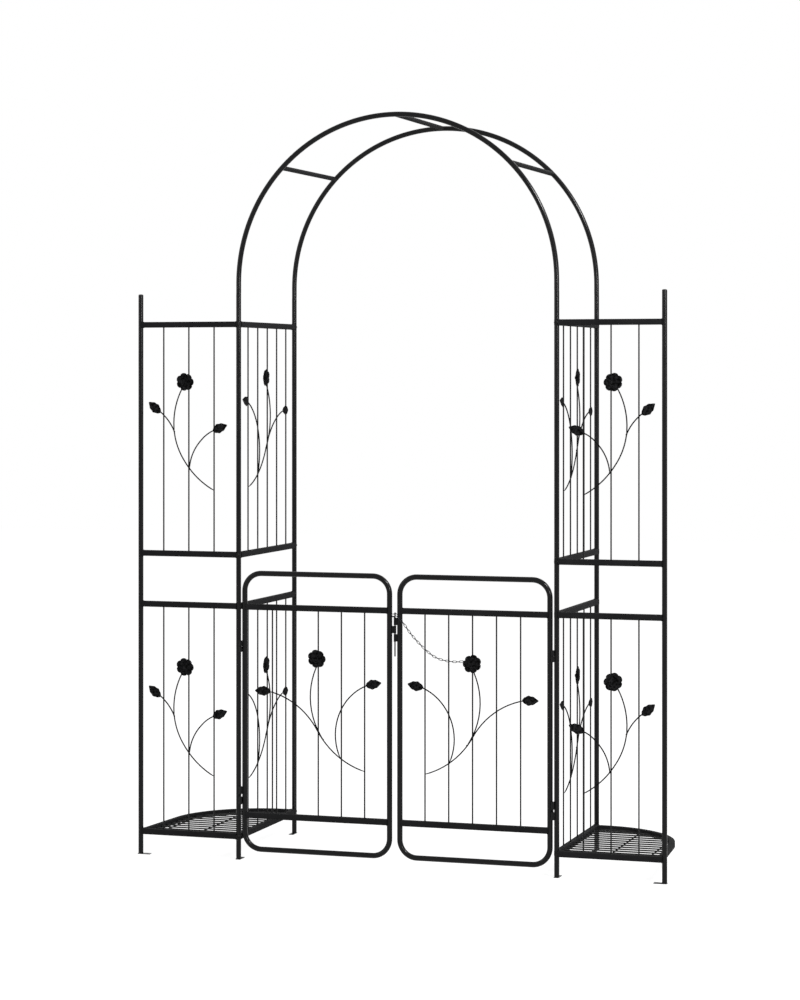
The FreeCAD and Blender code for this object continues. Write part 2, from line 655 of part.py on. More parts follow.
latch_radius = size("latch_pin") / 2
ring_height = eyes_top + size("latch_pin_head") - size("latch_pin")
tail = FreeCAD.Vector(latch_x, front_y, latch_bottom - size("latch_pin_tail"))
rod = column(latch_radius, tail, eyes_top + size("latch_pin_head") - tail.z)
peg_start = FreeCAD.Vector(latch_x, front_y, eyes_top + latch_radius / math.cos(PEG_TILT))
level_way = FreeCAD.Vector(-math.cos(PEG_TURN), -math.sin(PEG_TURN), 0)
peg_way = level_way * math.cos(PEG_TILT) + Z_AXIS * math.sin(PEG_TILT)
peg_side = level_way.cross(Z_AXIS)
peg_up = peg_side.cross(peg_way)
peg_reach = latch_radius / math.cos(math.pi / TUBE_SIDES)
peg_turns = [2 * math.pi * (step + 0.5) / TUBE_SIDES for step in range(TUBE_SIDES + 1)]
peg_section = [peg_start + (peg_up * math.cos(a) + peg_side * math.sin(a)) * peg_reach for a in peg_turns]
peg = Part.Face(Part.makePolygon(peg_section)).extrude(peg_way * size("latch_peg_length"))
hole_half = size("chain_wire") / 2 + size("latch_play")
hole_corner = FreeCAD.Vector(latch_x - latch_radius - 1, front_y - hole_half, ring_height - hole_half)
hole = Part.makeBox(2 * latch_radius + 2, 2 * hole_half, 2 * hole_half, hole_corner)
node(feature("latch_pin", rod.fuse(peg).cut(hole).removeSplitter()))

# Vine ornaments: welded stems with two leaves and a flower on a boss. A stem is a row of arcs,
# each given by its start, a point on its way and its end, in millimetres across and up from the
# stem's lower end. A leaf is given by its base and its tip.
FRONT_VINE = {
    "stems": [
        [
            ((0, 0), (57, 42), (92, 86)),
            ((92, 86), (112, 126), (122, 168)),
            ((122, 168), (140, 199), (170, 228)),
        ],
        [((75, 62), (66, 101), (38, 144)), ((38, 144), (22, 159), (-1, 172))],
        [((122, 168), (121, 222), (86, 311))],
    ],
    "leaves": [((165, 222), (204, 255)), ((3, 170), (-42, 188))],
    "flower": (86, 311),
}
LONG_VINE = {
    "stems": [
        [((0, 0), (77, 38), (140, 109)), ((140, 109), (205, 181), (289, 216.5))],
        [((72, 35), (85, 121), (56, 193)), ((56, 193), (29, 221), (-9, 243))],
        [((139, 108), (166, 208), (147, 288)), ((147, 288), (144, 301), (140, 313))],
    ],
    "leaves": [((282, 217), (328, 217)), ((-4, 242), (-53, 252))],
    "flower": (140, 314),
}
SIDE_VINE = {
    "stems": LONG_VINE["stems"][:2] + [
        [((139, 108), (175, 212), (145, 290)), ((145, 290), (136, 303), (125, 313))],
    ],
    "leaves": LONG_VINE["leaves"],
    "flower": (124, 314),
}
# Width and height of the panel a vine is drawn for, and where it starts from the panel's middle
DRAWN_PANELS = {"front": (303, 660, -76), "side": (466, 660, -158), "gate": (435.5, 595.4, -143.6)}
FRONT_RUNS = 2  # straight runs to an arc
LONG_RUNS = 3
FLOWER_LOBES = 7
LOBE_DEPTH = 0.13
BOSS_SIDES = 6
LEAF_EDGE = [(0, 0.07), (0.25, 0.4), (0.52, 0.5), (1, 0)]  # shares of length and width


def stretch(kind, width, height):
    """How much wider and higher a panel is than the drawn one, and where its vine starts."""
    drawn_width, drawn_height, start = DRAWN_PANELS[kind]
    return width / drawn_width, height / drawn_height, start * width / drawn_width


def drawn(point, wider, higher):
    return FreeCAD.Vector(point[0] * wider, point[1] * higher, 0)


def plate(outline, back, front, place):
    """A flat piece with this outline, from back to front before the wires' axes."""
    origin, along, out = place
    corners = [origin + along * p.x + Z_AXIS * p.y + out * back for p in outline]
    return Part.Face(Part.makePolygon(corners + corners[:1])).extrude(out * (front - back))


def stem_line(arcs, runs, wider, higher):
    points = []
    for arc in arcs:
        curve = Part.Arc(*[drawn(point, wider, higher) for point in arc]).toShape()
        stations = curve.discretize(Number=runs + 1)
        points += stations[1:] if points else stations
    return points


def ribbon(points, width):
    """The outline of a band of even width along a line of points."""
    left, right = [], []
    for i, point in enumerate(points):
        before = (point - points[i - 1]).normalize() if i else None
        after = (points[i + 1] - point).normalize() if i + 1 < len(points) else None
        before, after = before or after, after or before
        way_on = (before + after).normalize()
        normal = FreeCAD.Vector(-way_on.y, way_on.x, 0)
        reach = width / 2 / normal.dot(FreeCAD.Vector(-before.y, before.x, 0))
        left.append(point + normal * reach)
        right.append(point - normal * reach)
    return left + right[::-1]


def leaf_outline(base, tip):
    """A pointed leaf, widest at its middle."""
    along = (tip - base).normalize() * size("leaf_length")
    across = FreeCAD.Vector(-along.y, along.x, 0).normalize() * size("leaf_width")
    edge = LEAF_EDGE + [(run, -rise) for run, rise in LEAF_EDGE[-2::-1]]
    return [base + along * run + across * rise for run, rise in edge]


def polygon(middle, radii):
    """A closed outline round a middle, with one corner to each of these radii."""
    outline = []
    for step, radius in enumerate(radii):
        angle = 2 * math.pi * step / len(radii)
        outline.append(middle + FreeCAD.Vector(radius * math.cos(angle), radius * math.sin(angle), 0))
    return outline


def vine(label, pattern, runs, place, wider, higher):
    stem_back = size("wire_diameter") / 2
    leaf_back = stem_back + (size("stem_width") - size("leaf_thickness")) / 2
    flower_back = size("flower_standoff")
    flower_radius = size("flower_diameter") / 2
    pieces = []
    for arcs in pattern["stems"]:
        band = ribbon(stem_line(arcs, runs, wider, higher), size("stem_width"))
        pieces.append(plate(band, stem_back, stem_back + size("stem_width"), place))
    for leaf in pattern["leaves"]:
        outline = leaf_outline(*[drawn(end, wider, higher) for end in leaf])
        pieces.append(plate(outline, leaf_back, leaf_back + size("leaf_thickness"), place))
    middle = drawn(pattern["flower"], wider, higher)
    boss = polygon(middle, [size("flower_boss") / 2] * BOSS_SIDES)
    pieces.append(plate(boss, stem_back, flower_back + size("flower_thickness") / 2, place))
    petals = polygon(middle, [flower_radius, flower_radius * (1 - LOBE_DEPTH)] * FLOWER_LOBES)
    pieces.append(plate(petals, flower_back, flower_back + size("flower_thickness"), place))
    return node(feature(label, pieces[0].multiFuse(pieces[1:]).removeSplitter()))


gate_height = gate_high_rail - gate_low_rail
gate_wider, gate_higher, gate_start = stretch("gate", hinge_stile - meeting_stile, gate_height)
for side, sign in SIDES.items():
    for level, (high, low) in panel_rails.items():
        wider, higher, start = stretch("front", size("tower_width"), high - low)
        x = sign * (half_span + size("tower_width") / 2 + start)
        origin = FreeCAD.Vector(x, front_y, low + size(f"{level}_front_vine_rise") * higher)
        place = (origin, X_AXIS * sign, -Y_AXIS)
        vine(f"{side}_front_{level}_vine", FRONT_VINE, FRONT_RUNS, place, wider, higher)
        wider, higher, start = stretch("side", size("arch_depth"), high - low)
        origin = FreeCAD.Vector(sign * half_span, start, low + size(f"{level}_side_vine_rise") * higher)
        vine(f"{side}_side_{level}_vine", SIDE_VINE, LONG_RUNS, (origin, Y_AXIS, X_AXIS), wider, higher)
    origin = FreeCAD.Vector(sign * (leaf_middle + gate_start), front_y, 0)
    origin.z = gate_low_rail + size("gate_vine_rise") * gate_higher
    place = (origin, X_AXIS * sign, -Y_AXIS)
    vine(f"{side}_gate_vine", LONG_VINE, LONG_RUNS, place, gate_wider, gate_higher)

# Chain: a ring through the pin's head, links in front of the right leaf, a ring round its third wire
RING_TO_CHAIN = math.radians(30)  # from the right towards the front
RING_ABOVE_FLOWER = 7
CHAIN_CLEAR = 1.3  # before the stile
LINK_POINT = 0.35  # length of a link's pointed end, as a share of its half width
# Shares of the way from ring to ring: across, forward of the leaf, and down
CHAIN_WAY = [
    (0.033, 0.94, 0.05),
    (0.073, 1.0, 0.123),
    (0.116, 1.0, 0.206),
    (0.174, 0.98, 0.343),
    (0.288, 0.93, 0.57),
    (0.418, 0.85, 0.781),
    (0.556, 0.72, 0.945),
    (0.662, 0.57, 1.0),
    (0.747, 0.47, 1.02),
    (0.833, 0.36, 1.025),
    (0.921, 0.18, 1.013),
]
gauge = size("chain_wire")
ring_radius = size("chain_ring") / 2
link_play = size("chain_link_play")


def flat_ring(middle):
    base = middle - Z_AXIS * (gauge / 2)
    outside = column(ring_radius + gauge / 2, base, gauge)
    return outside.cut(column(ring_radius - gauge / 2, base, gauge))


def link(start, end, flat):
    """One link between two stations of the chain's way: six straight runs of square wire."""
    along = (end - start).normalize()
    across = (Y_AXIS - along * along.dot(Y_AXIS)).normalize()
    if flat:
        across = along.cross(across)
    normal = along.cross(across).normalize() * (gauge / 2)
    middle = (start + end) * 0.5

    def outline(grow):
        width = (size("chain_link_width") - gauge) / 2 + grow
        tip = (size("chain_link_length") + gauge) / 2 + grow
        shoulder = tip - width * LINK_POINT
        ends = [(tip, 0), (shoulder, 1), (-shoulder, 1), (-tip, 0), (-shoulder, -1), (shoulder, -1)]
        corners = [middle + along * a + across * (b * width) - normal for a, b in ends]
        return Part.Face(Part.makePolygon(corners + corners[:1]))

    return outline(gauge / 2).cut(outline(-gauge / 2)).extrude(normal * 2)


pin_ring_middle = FreeCAD.Vector(latch_x, front_y - ring_radius, ring_height)
node(feature("latch_pin_ring", flat_ring(pin_ring_middle)))
wire_corner = size("wire_diameter") / 2 / math.cos(math.pi / WIRE_SIDES)
ring_hang = ring_radius - gauge / 2 - wire_corner - size("latch_play")
third_wire = leaf_middle - size("gate_wire_shift")
flower_height = gate_low_rail + (size("gate_vine_rise") + LONG_VINE["flower"][1]) * gate_higher
wire_ring_middle = FreeCAD.Vector(third_wire - ring_hang, front_y, flower_height + RING_ABOVE_FLOWER)
ring_way = FreeCAD.Vector(math.cos(RING_TO_CHAIN), -math.sin(RING_TO_CHAIN), 0)
chain_start = pin_ring_middle + ring_way * ring_radius
chain_end = wire_ring_middle - X_AXIS * ring_radius
forward = stile_radius + size("chain_link_width") / 2 + CHAIN_CLEAR
between = []
for across, ahead, down in CHAIN_WAY:
    x = chain_start.x + across * (chain_end.x - chain_start.x)
    z = chain_start.z + down * (chain_end.z - chain_start.z)
    between.append(FreeCAD.Vector(x, front_y - ahead * forward, z))
lap = (link_play + gauge) / 2
way_in = (between[0] - chain_start).normalize() * lap
way_out = (chain_end - between[-1]).normalize() * lap
way = Part.BSplineCurve()
way.interpolate([chain_start - way_in] + between + [chain_end + way_out])
link_count = round(way.length() / (size("chain_link_length") - link_play))
stations = way.discretize(Number=link_count + 1)
print("chain", round(way.length()), "mm,", link_count, "links")
links = []
for number in range(link_count):
    shape = link(stations[number], stations[number + 1], number % 2 == 0)
    links.append(feature(f"chain_link_{number + 1}", shape))
links.append(feature("chain_wire_ring", flat_ring(wire_ring_middle)))
group("latch_chain", links)

# Build, test and write
doc.recompute()
for item in doc.Objects:
    if "Invalid" in item.State or "Error" in item.State:
        raise RuntimeError(f"{item.Label} failed to build: {item.State}")
for item in nodes:
    if item.Shape.isNull() or not item.Shape.isValid() or not item.Shape.Solids:
        raise RuntimeError(f"{item.Label} has no valid solid")
    if any(solid.Volume <= 0 for solid in item.Shape.Solids):
        raise RuntimeError(f"{item.Label} holds a solid that is inside out")

os.makedirs("parts", exist_ok=True)
for item in nodes:
    item.Shape.exportStep(f"parts/{item.Label}.step")
print(len(nodes), "nodes,", sum(len(item.Shape.Solids) for item in nodes), "solids")
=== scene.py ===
import bmesh
import bpy
import json
import math
import numpy as np
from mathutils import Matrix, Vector


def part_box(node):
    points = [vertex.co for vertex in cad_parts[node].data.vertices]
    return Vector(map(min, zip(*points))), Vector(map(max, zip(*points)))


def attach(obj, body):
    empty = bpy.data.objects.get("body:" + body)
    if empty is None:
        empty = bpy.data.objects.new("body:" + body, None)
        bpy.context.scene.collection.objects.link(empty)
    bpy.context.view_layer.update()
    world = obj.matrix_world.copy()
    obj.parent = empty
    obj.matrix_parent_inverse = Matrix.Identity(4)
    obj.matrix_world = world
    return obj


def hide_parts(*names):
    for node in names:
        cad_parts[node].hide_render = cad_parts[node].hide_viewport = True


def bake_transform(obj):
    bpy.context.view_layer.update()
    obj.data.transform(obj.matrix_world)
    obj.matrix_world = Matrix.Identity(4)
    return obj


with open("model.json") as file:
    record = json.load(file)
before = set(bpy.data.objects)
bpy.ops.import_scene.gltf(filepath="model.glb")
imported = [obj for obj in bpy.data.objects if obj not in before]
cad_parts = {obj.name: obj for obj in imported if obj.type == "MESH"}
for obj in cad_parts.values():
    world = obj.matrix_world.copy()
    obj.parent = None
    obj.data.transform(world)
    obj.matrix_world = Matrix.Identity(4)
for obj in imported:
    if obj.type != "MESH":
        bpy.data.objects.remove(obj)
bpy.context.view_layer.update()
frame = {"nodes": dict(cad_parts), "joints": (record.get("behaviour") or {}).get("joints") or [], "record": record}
cadNodes = frame["nodes"]
record = frame["record"]
bodyOf = {name: body for body, held in record["behaviour"]["bodies"].items() for name in held}
scene = bpy.context.scene
mm = 0.001
xAxis, yAxis, zAxis = Vector((1, 0, 0)), Vector((0, 1, 0)), Vector((0, 0, 1))
sides = {"left": -1, "right": 1}
coat = 0.2  # mm of powder on the bars, more than the real film so that it shows
wireCoat = 0.35  # it gathers thicker on thin wire
print("frame:", len(cadNodes), "nodes")


def linearColour(code):
    # sRGB hex to linear
    channels = [int(code[i : i + 2], 16) / 255 for i in (1, 3, 5)]
    return [c / 12.92 if c <= 0.04045 else ((c + 0.055) / 1.055) ** 2.4 for c in channels] + [1]


def addNode(tree, kind, settings, links=()):
    # settings are properties or input values, links are (output, input)
    node = tree.nodes.new(kind)
    for name, value in settings.items():
        if name in node.inputs:
            node.inputs[name].default_value = value
        else:
            setattr(node, name, value)
    for output, name in links:
        tree.links.new(output, node.inputs[name])
    return node


def newMaterial(name):
    material = bpy.data.materials.new(name)
    material.use_nodes = True
    material.node_tree.nodes.clear()
    return material, material.node_tree


noiseSpan = {"From Min": 0.35, "From Max": 0.65}  # where most of a noise's values lie


def makeFinish(name, look):
    # a coarse noise lays out colour and roughness, and a fine one is the bump
    material, tree = newMaterial(name)
    place = addNode(tree, "ShaderNodeTexCoord", {}).outputs["Object"]
    noises, spreads = [], []
    for size, detail in (look["patches"], look["grain"]):
        settings = {"Scale": 1 / (size * mm), "Detail": detail}
        noise = addNode(tree, "ShaderNodeTexNoise", settings, [(place, "Vector")])
        noises.append(noise.outputs["Fac"])
    patches, grain = noises
    for low, high in (look["share"], look["roughness"]):
        settings = {**noiseSpan, "To Min": low, "To Max": high}
        spread = addNode(tree, "ShaderNodeMapRange", settings, [(patches, "Value")])
        spreads.append(spread.outputs["Result"])
    share, roughness = spreads
    first, second = [linearColour(code) for code in look["colours"]]
    colour = addNode(tree, "ShaderNodeMixRGB", {"Color1": first, "Color2": second}, [(share, "Fac")])
    bump = addNode(tree, "ShaderNodeBump", {"Distance": look["depth"] * mm}, [(grain, "Height")])
    links = [
        (colour.outputs["Color"], "Base Color"),
        (roughness, "Roughness"),
        (bump.outputs["Normal"], "Normal"),
    ]
    shader = addNode(tree, "ShaderNodeBsdfPrincipled", look["shader"], links)
    addNode(tree, "ShaderNodeOutputMaterial", {}, [(shader.outputs["BSDF"], "Surface")])
    return material


# In each finish, patches and grain are (mm across, detail), share is how far the patches go from the
# first colour to the second, and depth is the bump in mm. The real grains are finer, and these are
# drawn as coarse as they need to show.

# Powder-coated steel: a baked polyester film, near black and satin. The orange peel of the melted
# powder breaks up the highlights, and the film is glossier where it is thick.
tubeCoat = {
    "colours": ("#060607", "#0b0b0c"),  # thick, thin
    "patches": (110, 3),
    "share": (0, 1),
    "roughness": (0.17, 0.22),
    "grain": (2.4, 1),  # real peel is nearer 1 mm
    "depth": 0.02,
    "shader": {"Specular IOR Level": 0.15, "IOR": 1.5},
}
# On the square rails the film lies flat and matt, so a face seen along its length stays dark; its lighter colours
# are painted sheen, in place of the reflection that the glossier tubes show
railCoatPaintedSheen = {
    "colours": ("#161617", "#1b1b1c"),
    "patches": (90, 3),
    "share": (0, 1),
    "roughness": (0.6, 0.75),
    "grain": (2.4, 1),
    "depth": 0.05,
    "shader": {"Specular IOR Level": 0.025, "IOR": 1.5},
}
# The pressed leaves and flowers: the same coat, in random near-black and grey patches; the grey patches are
# painted glints, standing in for light on the relief
ornamentCoatPaintedGlints = {
    "colours": ("#020202", "#1e1e1f"),
    "patches": (7, 3),
    "share": (0, 1),
    "roughness": (0.7, 0.9),
    "grain": (1.6, 1),
    "depth": 0.09,
    "shader": {"Specular IOR Level": 0.015, "IOR": 1.5},
}
# Zinc-plated chain with a black passivation: a dark metal, bluish, with dull spots
zincPlate = {
    "colours": ("#34363a", "#18191b"),  # bright, dull
    "patches": (3, 3),
    "share": (0, 1),
    "roughness": (0.3, 0.5),
    "grain": (0.6, 2),
    "depth": 0.03,
    "shader": {"Metallic": 1.0},
}
# Blackened bolts: an oiled oxide on forged steel, a little browner and shinier than the coat
blackOxide = {
    "colours": ("#0c0c0c", "#1d1c1b"),  # oxide, worn
    "patches": (5, 4),
    "share": (-0.4, 0.7),
    "roughness": (0.34, 0.5),
    "grain": (0.8, 2),
    "depth": 0.02,
    "shader": {"Metallic": 0.2, "Specular IOR Level": 0.1},
}
# Moulded polyethylene plugs in the ends of the outer posts: soft black with a spark-eroded grain
plugPlastic = {
    "colours": ("#171718", "#1c1c1d"),
    "patches": (1.2, 2),
    "share": (0.35, 0.65),
    "roughness": (0.52, 0.62),
    "grain": (1.2, 2),
    "depth": 0.06,
    "shader": {"Specular IOR Level": 0.3, "IOR": 1.51},
}

coatedSteel = makeFinish("powderCoatedSteel", tubeCoat)
coatedRailPaintedSheen = makeFinish("powderCoatedRailPaintedSheen", railCoatPaintedSheen)
coatedOrnamentPaintedGlints = makeFinish("powderCoatedPressingPaintedGlints", ornamentCoatPaintedGlints)
platedSteel = makeFinish("zincPlatedSteel", zincPlate)
blackenedSteel = makeFinish("blackenedSteel", blackOxide)
mouldedPlastic = makeFinish("mouldedPolyethylene", plugPlastic)
print("materials:", len(bpy.data.materials))


def boxOf(name):
    low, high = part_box(name)
    return Vector(low), Vector(high)


def middleOf(name):
    return sum(boxOf(name), Vector()) / 2


def looseParts(name):
    # the vertices of each separate solid in a CAD node
    mesh = bmesh.new()
    mesh.from_mesh(cadNodes[name].data)
    bmesh.ops.remove_doubles(mesh, verts=mesh.verts, dist=1e-6)
    parts, seen = [], set()
    for first in mesh.verts:
        if first in seen:
            continue
        part, waiting = [], [first]
        seen.add(first)
        while waiting:
            vertex = waiting.pop()
            part.append(vertex.co.copy())
            for edge in vertex.link_edges:
                other = edge.other_vert(vertex)
                if other not in seen:
                    seen.add(other)
                    waiting.append(other)
        parts.append(np.array(part))
    mesh.free()
    return parts


def partBoxes(name):
    return [(Vector(part.min(axis=0)), Vector(part.max(axis=0))) for part in looseParts(name)]


def uprightLine(low, high, past=0):
    # the ends of an upright bar's middle line, which may run past its box
    middle = (low + high) / 2
    return Vector((middle.x, middle.y, low.z - past)), Vector((middle.x, middle.y, high.z + past))


def levelLine(low, high, past=0):
    # the same for a level bar, after the direction that it runs in
    size = high - low
    along = xAxis if size.x > size.y else yAxis
    middle, half = (low + high) / 2, along * (size.dot(along) / 2 + past)
    return along, middle - half, middle + half


def ringOutline(radius, count=20):
    turns = [2 * math.pi * step / count for step in range(count)]
    return [(radius * math.cos(turn), radius * math.sin(turn)) for turn in turns]


def squareOutline(width, height, corner, steps=3):
    # a rectangle with rounded corners, anticlockwise
    points = []
    for quarter, (a, b) in enumerate(((1, 1), (-1, 1), (-1, -1), (1, -1))):
        for step in range(steps + 1):
            turn = math.pi / 2 * (quarter + step / steps)
            across = a * (width / 2 - corner) + corner * math.cos(turn)
            up = b * (height / 2 - corner) + corner * math.sin(turn)
            points.append((across, up))
    return points


def sweep(mesh, path, outline, start, closed=False, sizes=None):
    # carries an outline along a path; start is the direction of its first axis
    count = len(path)
    rings, across = [], start
    for i, point in enumerate(path):
        ahead = path[(i + 1) % count] if closed or i + 1 < count else point
        behind = path[i - 1] if closed or i else point
        along = (ahead - behind).normalized()
        across = (across - along * across.dot(along)).normalized()
        up = along.cross(across)
        size = sizes[i] if sizes else 1
        rings.append([mesh.verts.new(point + (across * a + up * b) * size) for a, b in outline])
    for i in range(count if closed else count - 1):
        near, far = rings[i], rings[(i + 1) % count]
        for j in range(len(outline)):
            k = (j + 1) % len(outline)
            mesh.faces.new((near[j], near[k], far[k], far[j]))
    if not closed:
        mesh.faces.new(rings[0][::-1])
        mesh.faces.new(rings[-1])


def sweepLevels(mesh, base, way, outline, start, levels):
    # along a straight line; levels are (millimetres from its base, share of the outline's size)
    path = [base + way * (lift * mm) for lift, _ in levels]
    sweep(mesh, path, outline, start, sizes=[size for _, size in levels])


def crossAxis(along):
    # an axis that lies across a bar
    return yAxis if abs(along.x) > abs(along.y) + abs(along.z) else xAxis


def roundBar(mesh, start, end, radius, edge=0.4 * mm, count=20):
    # a straight round bar with eased ends
    along = (end - start).normalized()
    path = [start, start + along * edge, end - along * edge, end]
    sizes = [1 - edge / radius, 1, 1, 1 - edge / radius]
    sweep(mesh, path, ringOutline(radius, count), crossAxis(along), sizes=sizes)


def lump(mesh, middle, radii, turns=10, rows=6):
    # a rounded spot of weld
    rings = []
    for row in range(1, rows):
        lift = math.pi * row / rows
        ring = []
        for step in range(turns):
            turn = 2 * math.pi * step / turns
            x = radii[0] * math.sin(lift) * math.cos(turn)
            y = radii[1] * math.sin(lift) * math.sin(turn)
            ring.append(mesh.verts.new(middle + Vector((x, y, radii[2] * math.cos(lift)))))
        rings.append(ring)
    top = mesh.verts.new(middle + Vector((0, 0, radii[2])))
    bottom = mesh.verts.new(middle - Vector((0, 0, radii[2])))
    for step in range(turns):
        following = (step + 1) % turns
        mesh.faces.new((top, rings[0][step], rings[0][following]))
        mesh.faces.new((bottom, rings[-1][following], rings[-1][step]))
        for near, far in zip(rings, rings[1:]):
            mesh.faces.new((near[step], far[step], far[following], near[following]))


bead = {"ripple": 0.14, "pace": 2.1, "sides": 8}  # the small ripples that the torch leaves in a run of weld


def weldBead(mesh, path, radius, start):
    sizes = [1 + bead["ripple"] * math.sin(bead["pace"] * i) for i in range(len(path))]
    sweep(mesh, path, ringOutline(radius, bead["sides"]), start, closed=True, sizes=sizes)


def newPiece(mesh, name, node, material, sharp):
    # turns the mesh into an object that stands for a CAD node
    bmesh.ops.recalc_face_normals(mesh, faces=mesh.faces)
    data = bpy.data.meshes.new(name)
    mesh.to_mesh(data)
    mesh.free()
    data.polygons.foreach_set("use_smooth", [True] * len(data.polygons))
    data.set_sharp_from_angle(angle=math.radians(sharp))
    data.materials.append(material)
    piece = bpy.data.objects.new(name, data)
    scene.collection.objects.link(piece)
    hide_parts(node)
    return piece


def addPiece(mesh, name, node, material, sharp=32):
    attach(newPiece(mesh, name, node, material, sharp), bodyOf[node])


# Posts: the inner ones carry the hoops, the outer ones are plugged
post = {"radius": 7, "edge": 0.6, "sides": 28}


def makePost(name):
    mesh = bmesh.new()
    start, end = uprightLine(*boxOf(name))
    roundBar(mesh, start, end, (post["radius"] + coat) * mm, post["edge"] * mm, post["sides"])
    addPiece(mesh, name + "Tube", name, coatedSteel)


for side in sides:
    for place in ("front", "rear", "outer"):
        makePost(f"{side}_{place}_post")

# Plugs: a thin flange with a straight and a rounded rim, and a low dome over the tube's end
plug = {"flange": 1.2, "dome": 1.8, "steps": 5, "straight": 0.6, "rim": 0.95, "tip": 0.04}
mesh = bmesh.new()
for low, high in partBoxes("outer_post_caps"):
    levels = [(0, 1), (plug["flange"] * plug["straight"], 1), (plug["flange"], plug["rim"])]
    for step in range(1, plug["steps"] + 1):
        turn = math.pi / 2 * step / plug["steps"]
        size = max(plug["rim"] * math.cos(turn), plug["tip"])
        levels.append((plug["flange"] + plug["dome"] * math.sin(turn), size))
    outline = ringOutline(post["radius"] * mm, post["sides"])
    sweepLevels(mesh, uprightLine(low, high)[0], zAxis, outline, xAxis, levels)
addPiece(mesh, "outerPostPlugs", "outer_post_caps", mouldedPlastic)
print("posts")

# Hoops: a half circle of tube on two short legs, with swaged spigots that go into the posts
hoop = {
    "radius": 7,
    "leg": 30,
    "spigot": 5.3,
    "spigotLength": 40,
    "swage": 0.2,
    "edge": 0.6,
    "steps": 96,
    "sides": 24,
}


def makeHoop(name):
    low, high = boxOf(name)
    y = (low.y + high.y) / 2
    radius = hoop["radius"] + coat
    tube = radius * mm
    bendRadius = (high.x - low.x) / 2 - tube
    centre = Vector((0, y, high.z - tube - bendRadius))
    foot = centre.z - hoop["leg"] * mm
    leg = [
        (foot - hoop["spigotLength"] * mm, hoop["spigot"] / radius),
        (foot - hoop["swage"] * mm, hoop["spigot"] / radius),
        (foot, 1 - hoop["edge"] / radius),
        (foot + hoop["edge"] * mm, 1),
    ]
    path = [Vector((bendRadius, y, z)) for z, _ in leg]
    for step in range(hoop["steps"] + 1):
        turn = math.pi * step / hoop["steps"]
        path.append(centre + Vector((math.cos(turn), 0, math.sin(turn))) * bendRadius)
    path += [Vector((-bendRadius, y, z)) for z, _ in reversed(leg)]
    sizes = [size for _, size in leg] + [1] * (hoop["steps"] + 1) + [size for _, size in reversed(leg)]
    mesh = bmesh.new()
    sweep(mesh, path, ringOutline(tube, hoop["sides"]), yAxis, sizes=sizes)
    addPiece(mesh, name + "Tube", name, coatedSteel)


makeHoop("front_hoop")
makeHoop("rear_hoop")

# Crossbars: straight tubes welded between the hoops
crossbar = {"radius": 6.5, "reach": 2, "sides": 24, "bead": 1.1, "beadSteps": 28, "sink": 0.8}


def tubeBead(mesh, middle, along, across, tubeRadius, barRadius, size):
    # a bead where a round bar meets a round tube that runs along across
    side = along.cross(across)
    path = []
    for step in range(crossbar["beadSteps"]):
        turn = 2 * math.pi * step / crossbar["beadSteps"]
        off = barRadius * math.cos(turn)
        back = tubeRadius - math.sqrt(max(tubeRadius**2 - off**2, 0))
        path.append(middle + side * off + across * (barRadius * math.sin(turn)) - along * back)
    weldBead(mesh, path, size, along)


def makeCrossbar(name):
    low, high = boxOf(name)
    x, z = (low.x + high.x) / 2, (low.z + high.z) / 2
    reach = crossbar["reach"] * mm
    radius = (crossbar["radius"] + coat) * mm
    mesh = bmesh.new()
    start, end = Vector((x, low.y - reach, z)), Vector((x, high.y + reach, z))
    roundBar(mesh, start, end, radius, count=crossbar["sides"])
    hoopLow, hoopHigh = boxOf("front_hoop")
    centreHeight = hoopHigh.z - (hoopHigh.x - hoopLow.x) / 2
    tangent = Vector((x, 0, z - centreHeight)).normalized().cross(yAxis)
    beadRadius = radius - crossbar["sink"] * mm
    for y, along in ((low.y, yAxis), (high.y, -yAxis)):
        middle = Vector((x, y, z))
        tubeBead(mesh, middle, along, tangent, hoop["radius"] * mm, beadRadius, crossbar["bead"] * mm)
    # the crossbars take the rails' matt coat, with its painted sheen
    addPiece(mesh, name + "Tube", name, coatedRailPaintedSheen)


for name in ("left_crossbar", "top_crossbar", "right_crossbar"):
    makeCrossbar(name)
print("hoops and crossbars")

# Rails: square tube with rounded corners, welded to the posts with a bead all round
rail = {"size": 16, "corner": 1.8}
railWeld = {"bead": 1.5, "out": 0.9, "within": 0.4, "corner": 2.2, "hug": 1.7, "points": 6}


def railBead(mesh, end, along, hug=railWeld["hug"]):
    # follows the rail's outline and leans over the tube it meets
    across = zAxis.cross(along)
    width = rail["size"] - railWeld["within"]
    path = []
    for a, b in squareOutline(width, width, railWeld["corner"], railWeld["points"]):
        lean = hug * (a / (rail["size"] / 2)) ** 2
        path.append(end + (across * a + zAxis * b - along * (lean - railWeld["out"])) * mm)
    weldBead(mesh, path, railWeld["bead"] * mm, along)


def makeRails(node):
    mesh = bmesh.new()
    width = (rail["size"] + 2 * coat) * mm
    for low, high in partBoxes(node):
        along, start, end = levelLine(low, high)
        sweep(mesh, [start, end], squareOutline(width, width, rail["corner"] * mm), crossAxis(along))
        railBead(mesh, start, along)
        railBead(mesh, end, -along)
    addPiece(mesh, node + "Tubes", node, coatedRailPaintedSheen)


for side in sides:
    for panel in ("front_upper", "front_lower", "side_upper", "side_lower", "gate"):
        makeRails(f"{side}_{panel}_rails")

# Wires: drawn steel let 1 mm into the rails, with a spot of weld at each end
wire = {"radius": 1.8, "bite": 1, "sides": 12, "spot": (2.8, 2.8, 1.3)}


def makeWires(node):
    mesh = bmesh.new()
    spot = [size * mm for size in wire["spot"]]
    for low, high in partBoxes(node):
        start, end = uprightLine(low, high, wire["bite"] * mm)
        roundBar(mesh, start, end, (wire["radius"] + wireCoat) * mm, count=wire["sides"])
        for end in uprightLine(low, high):
            lump(mesh, end, spot)
    addPiece(mesh, node + "Drawn", node, coatedSteel)


for side in sides:
    for panel in ("front", "side", "gate"):
        makeWires(f"{side}_{panel}_wires")
print("rails and wires")

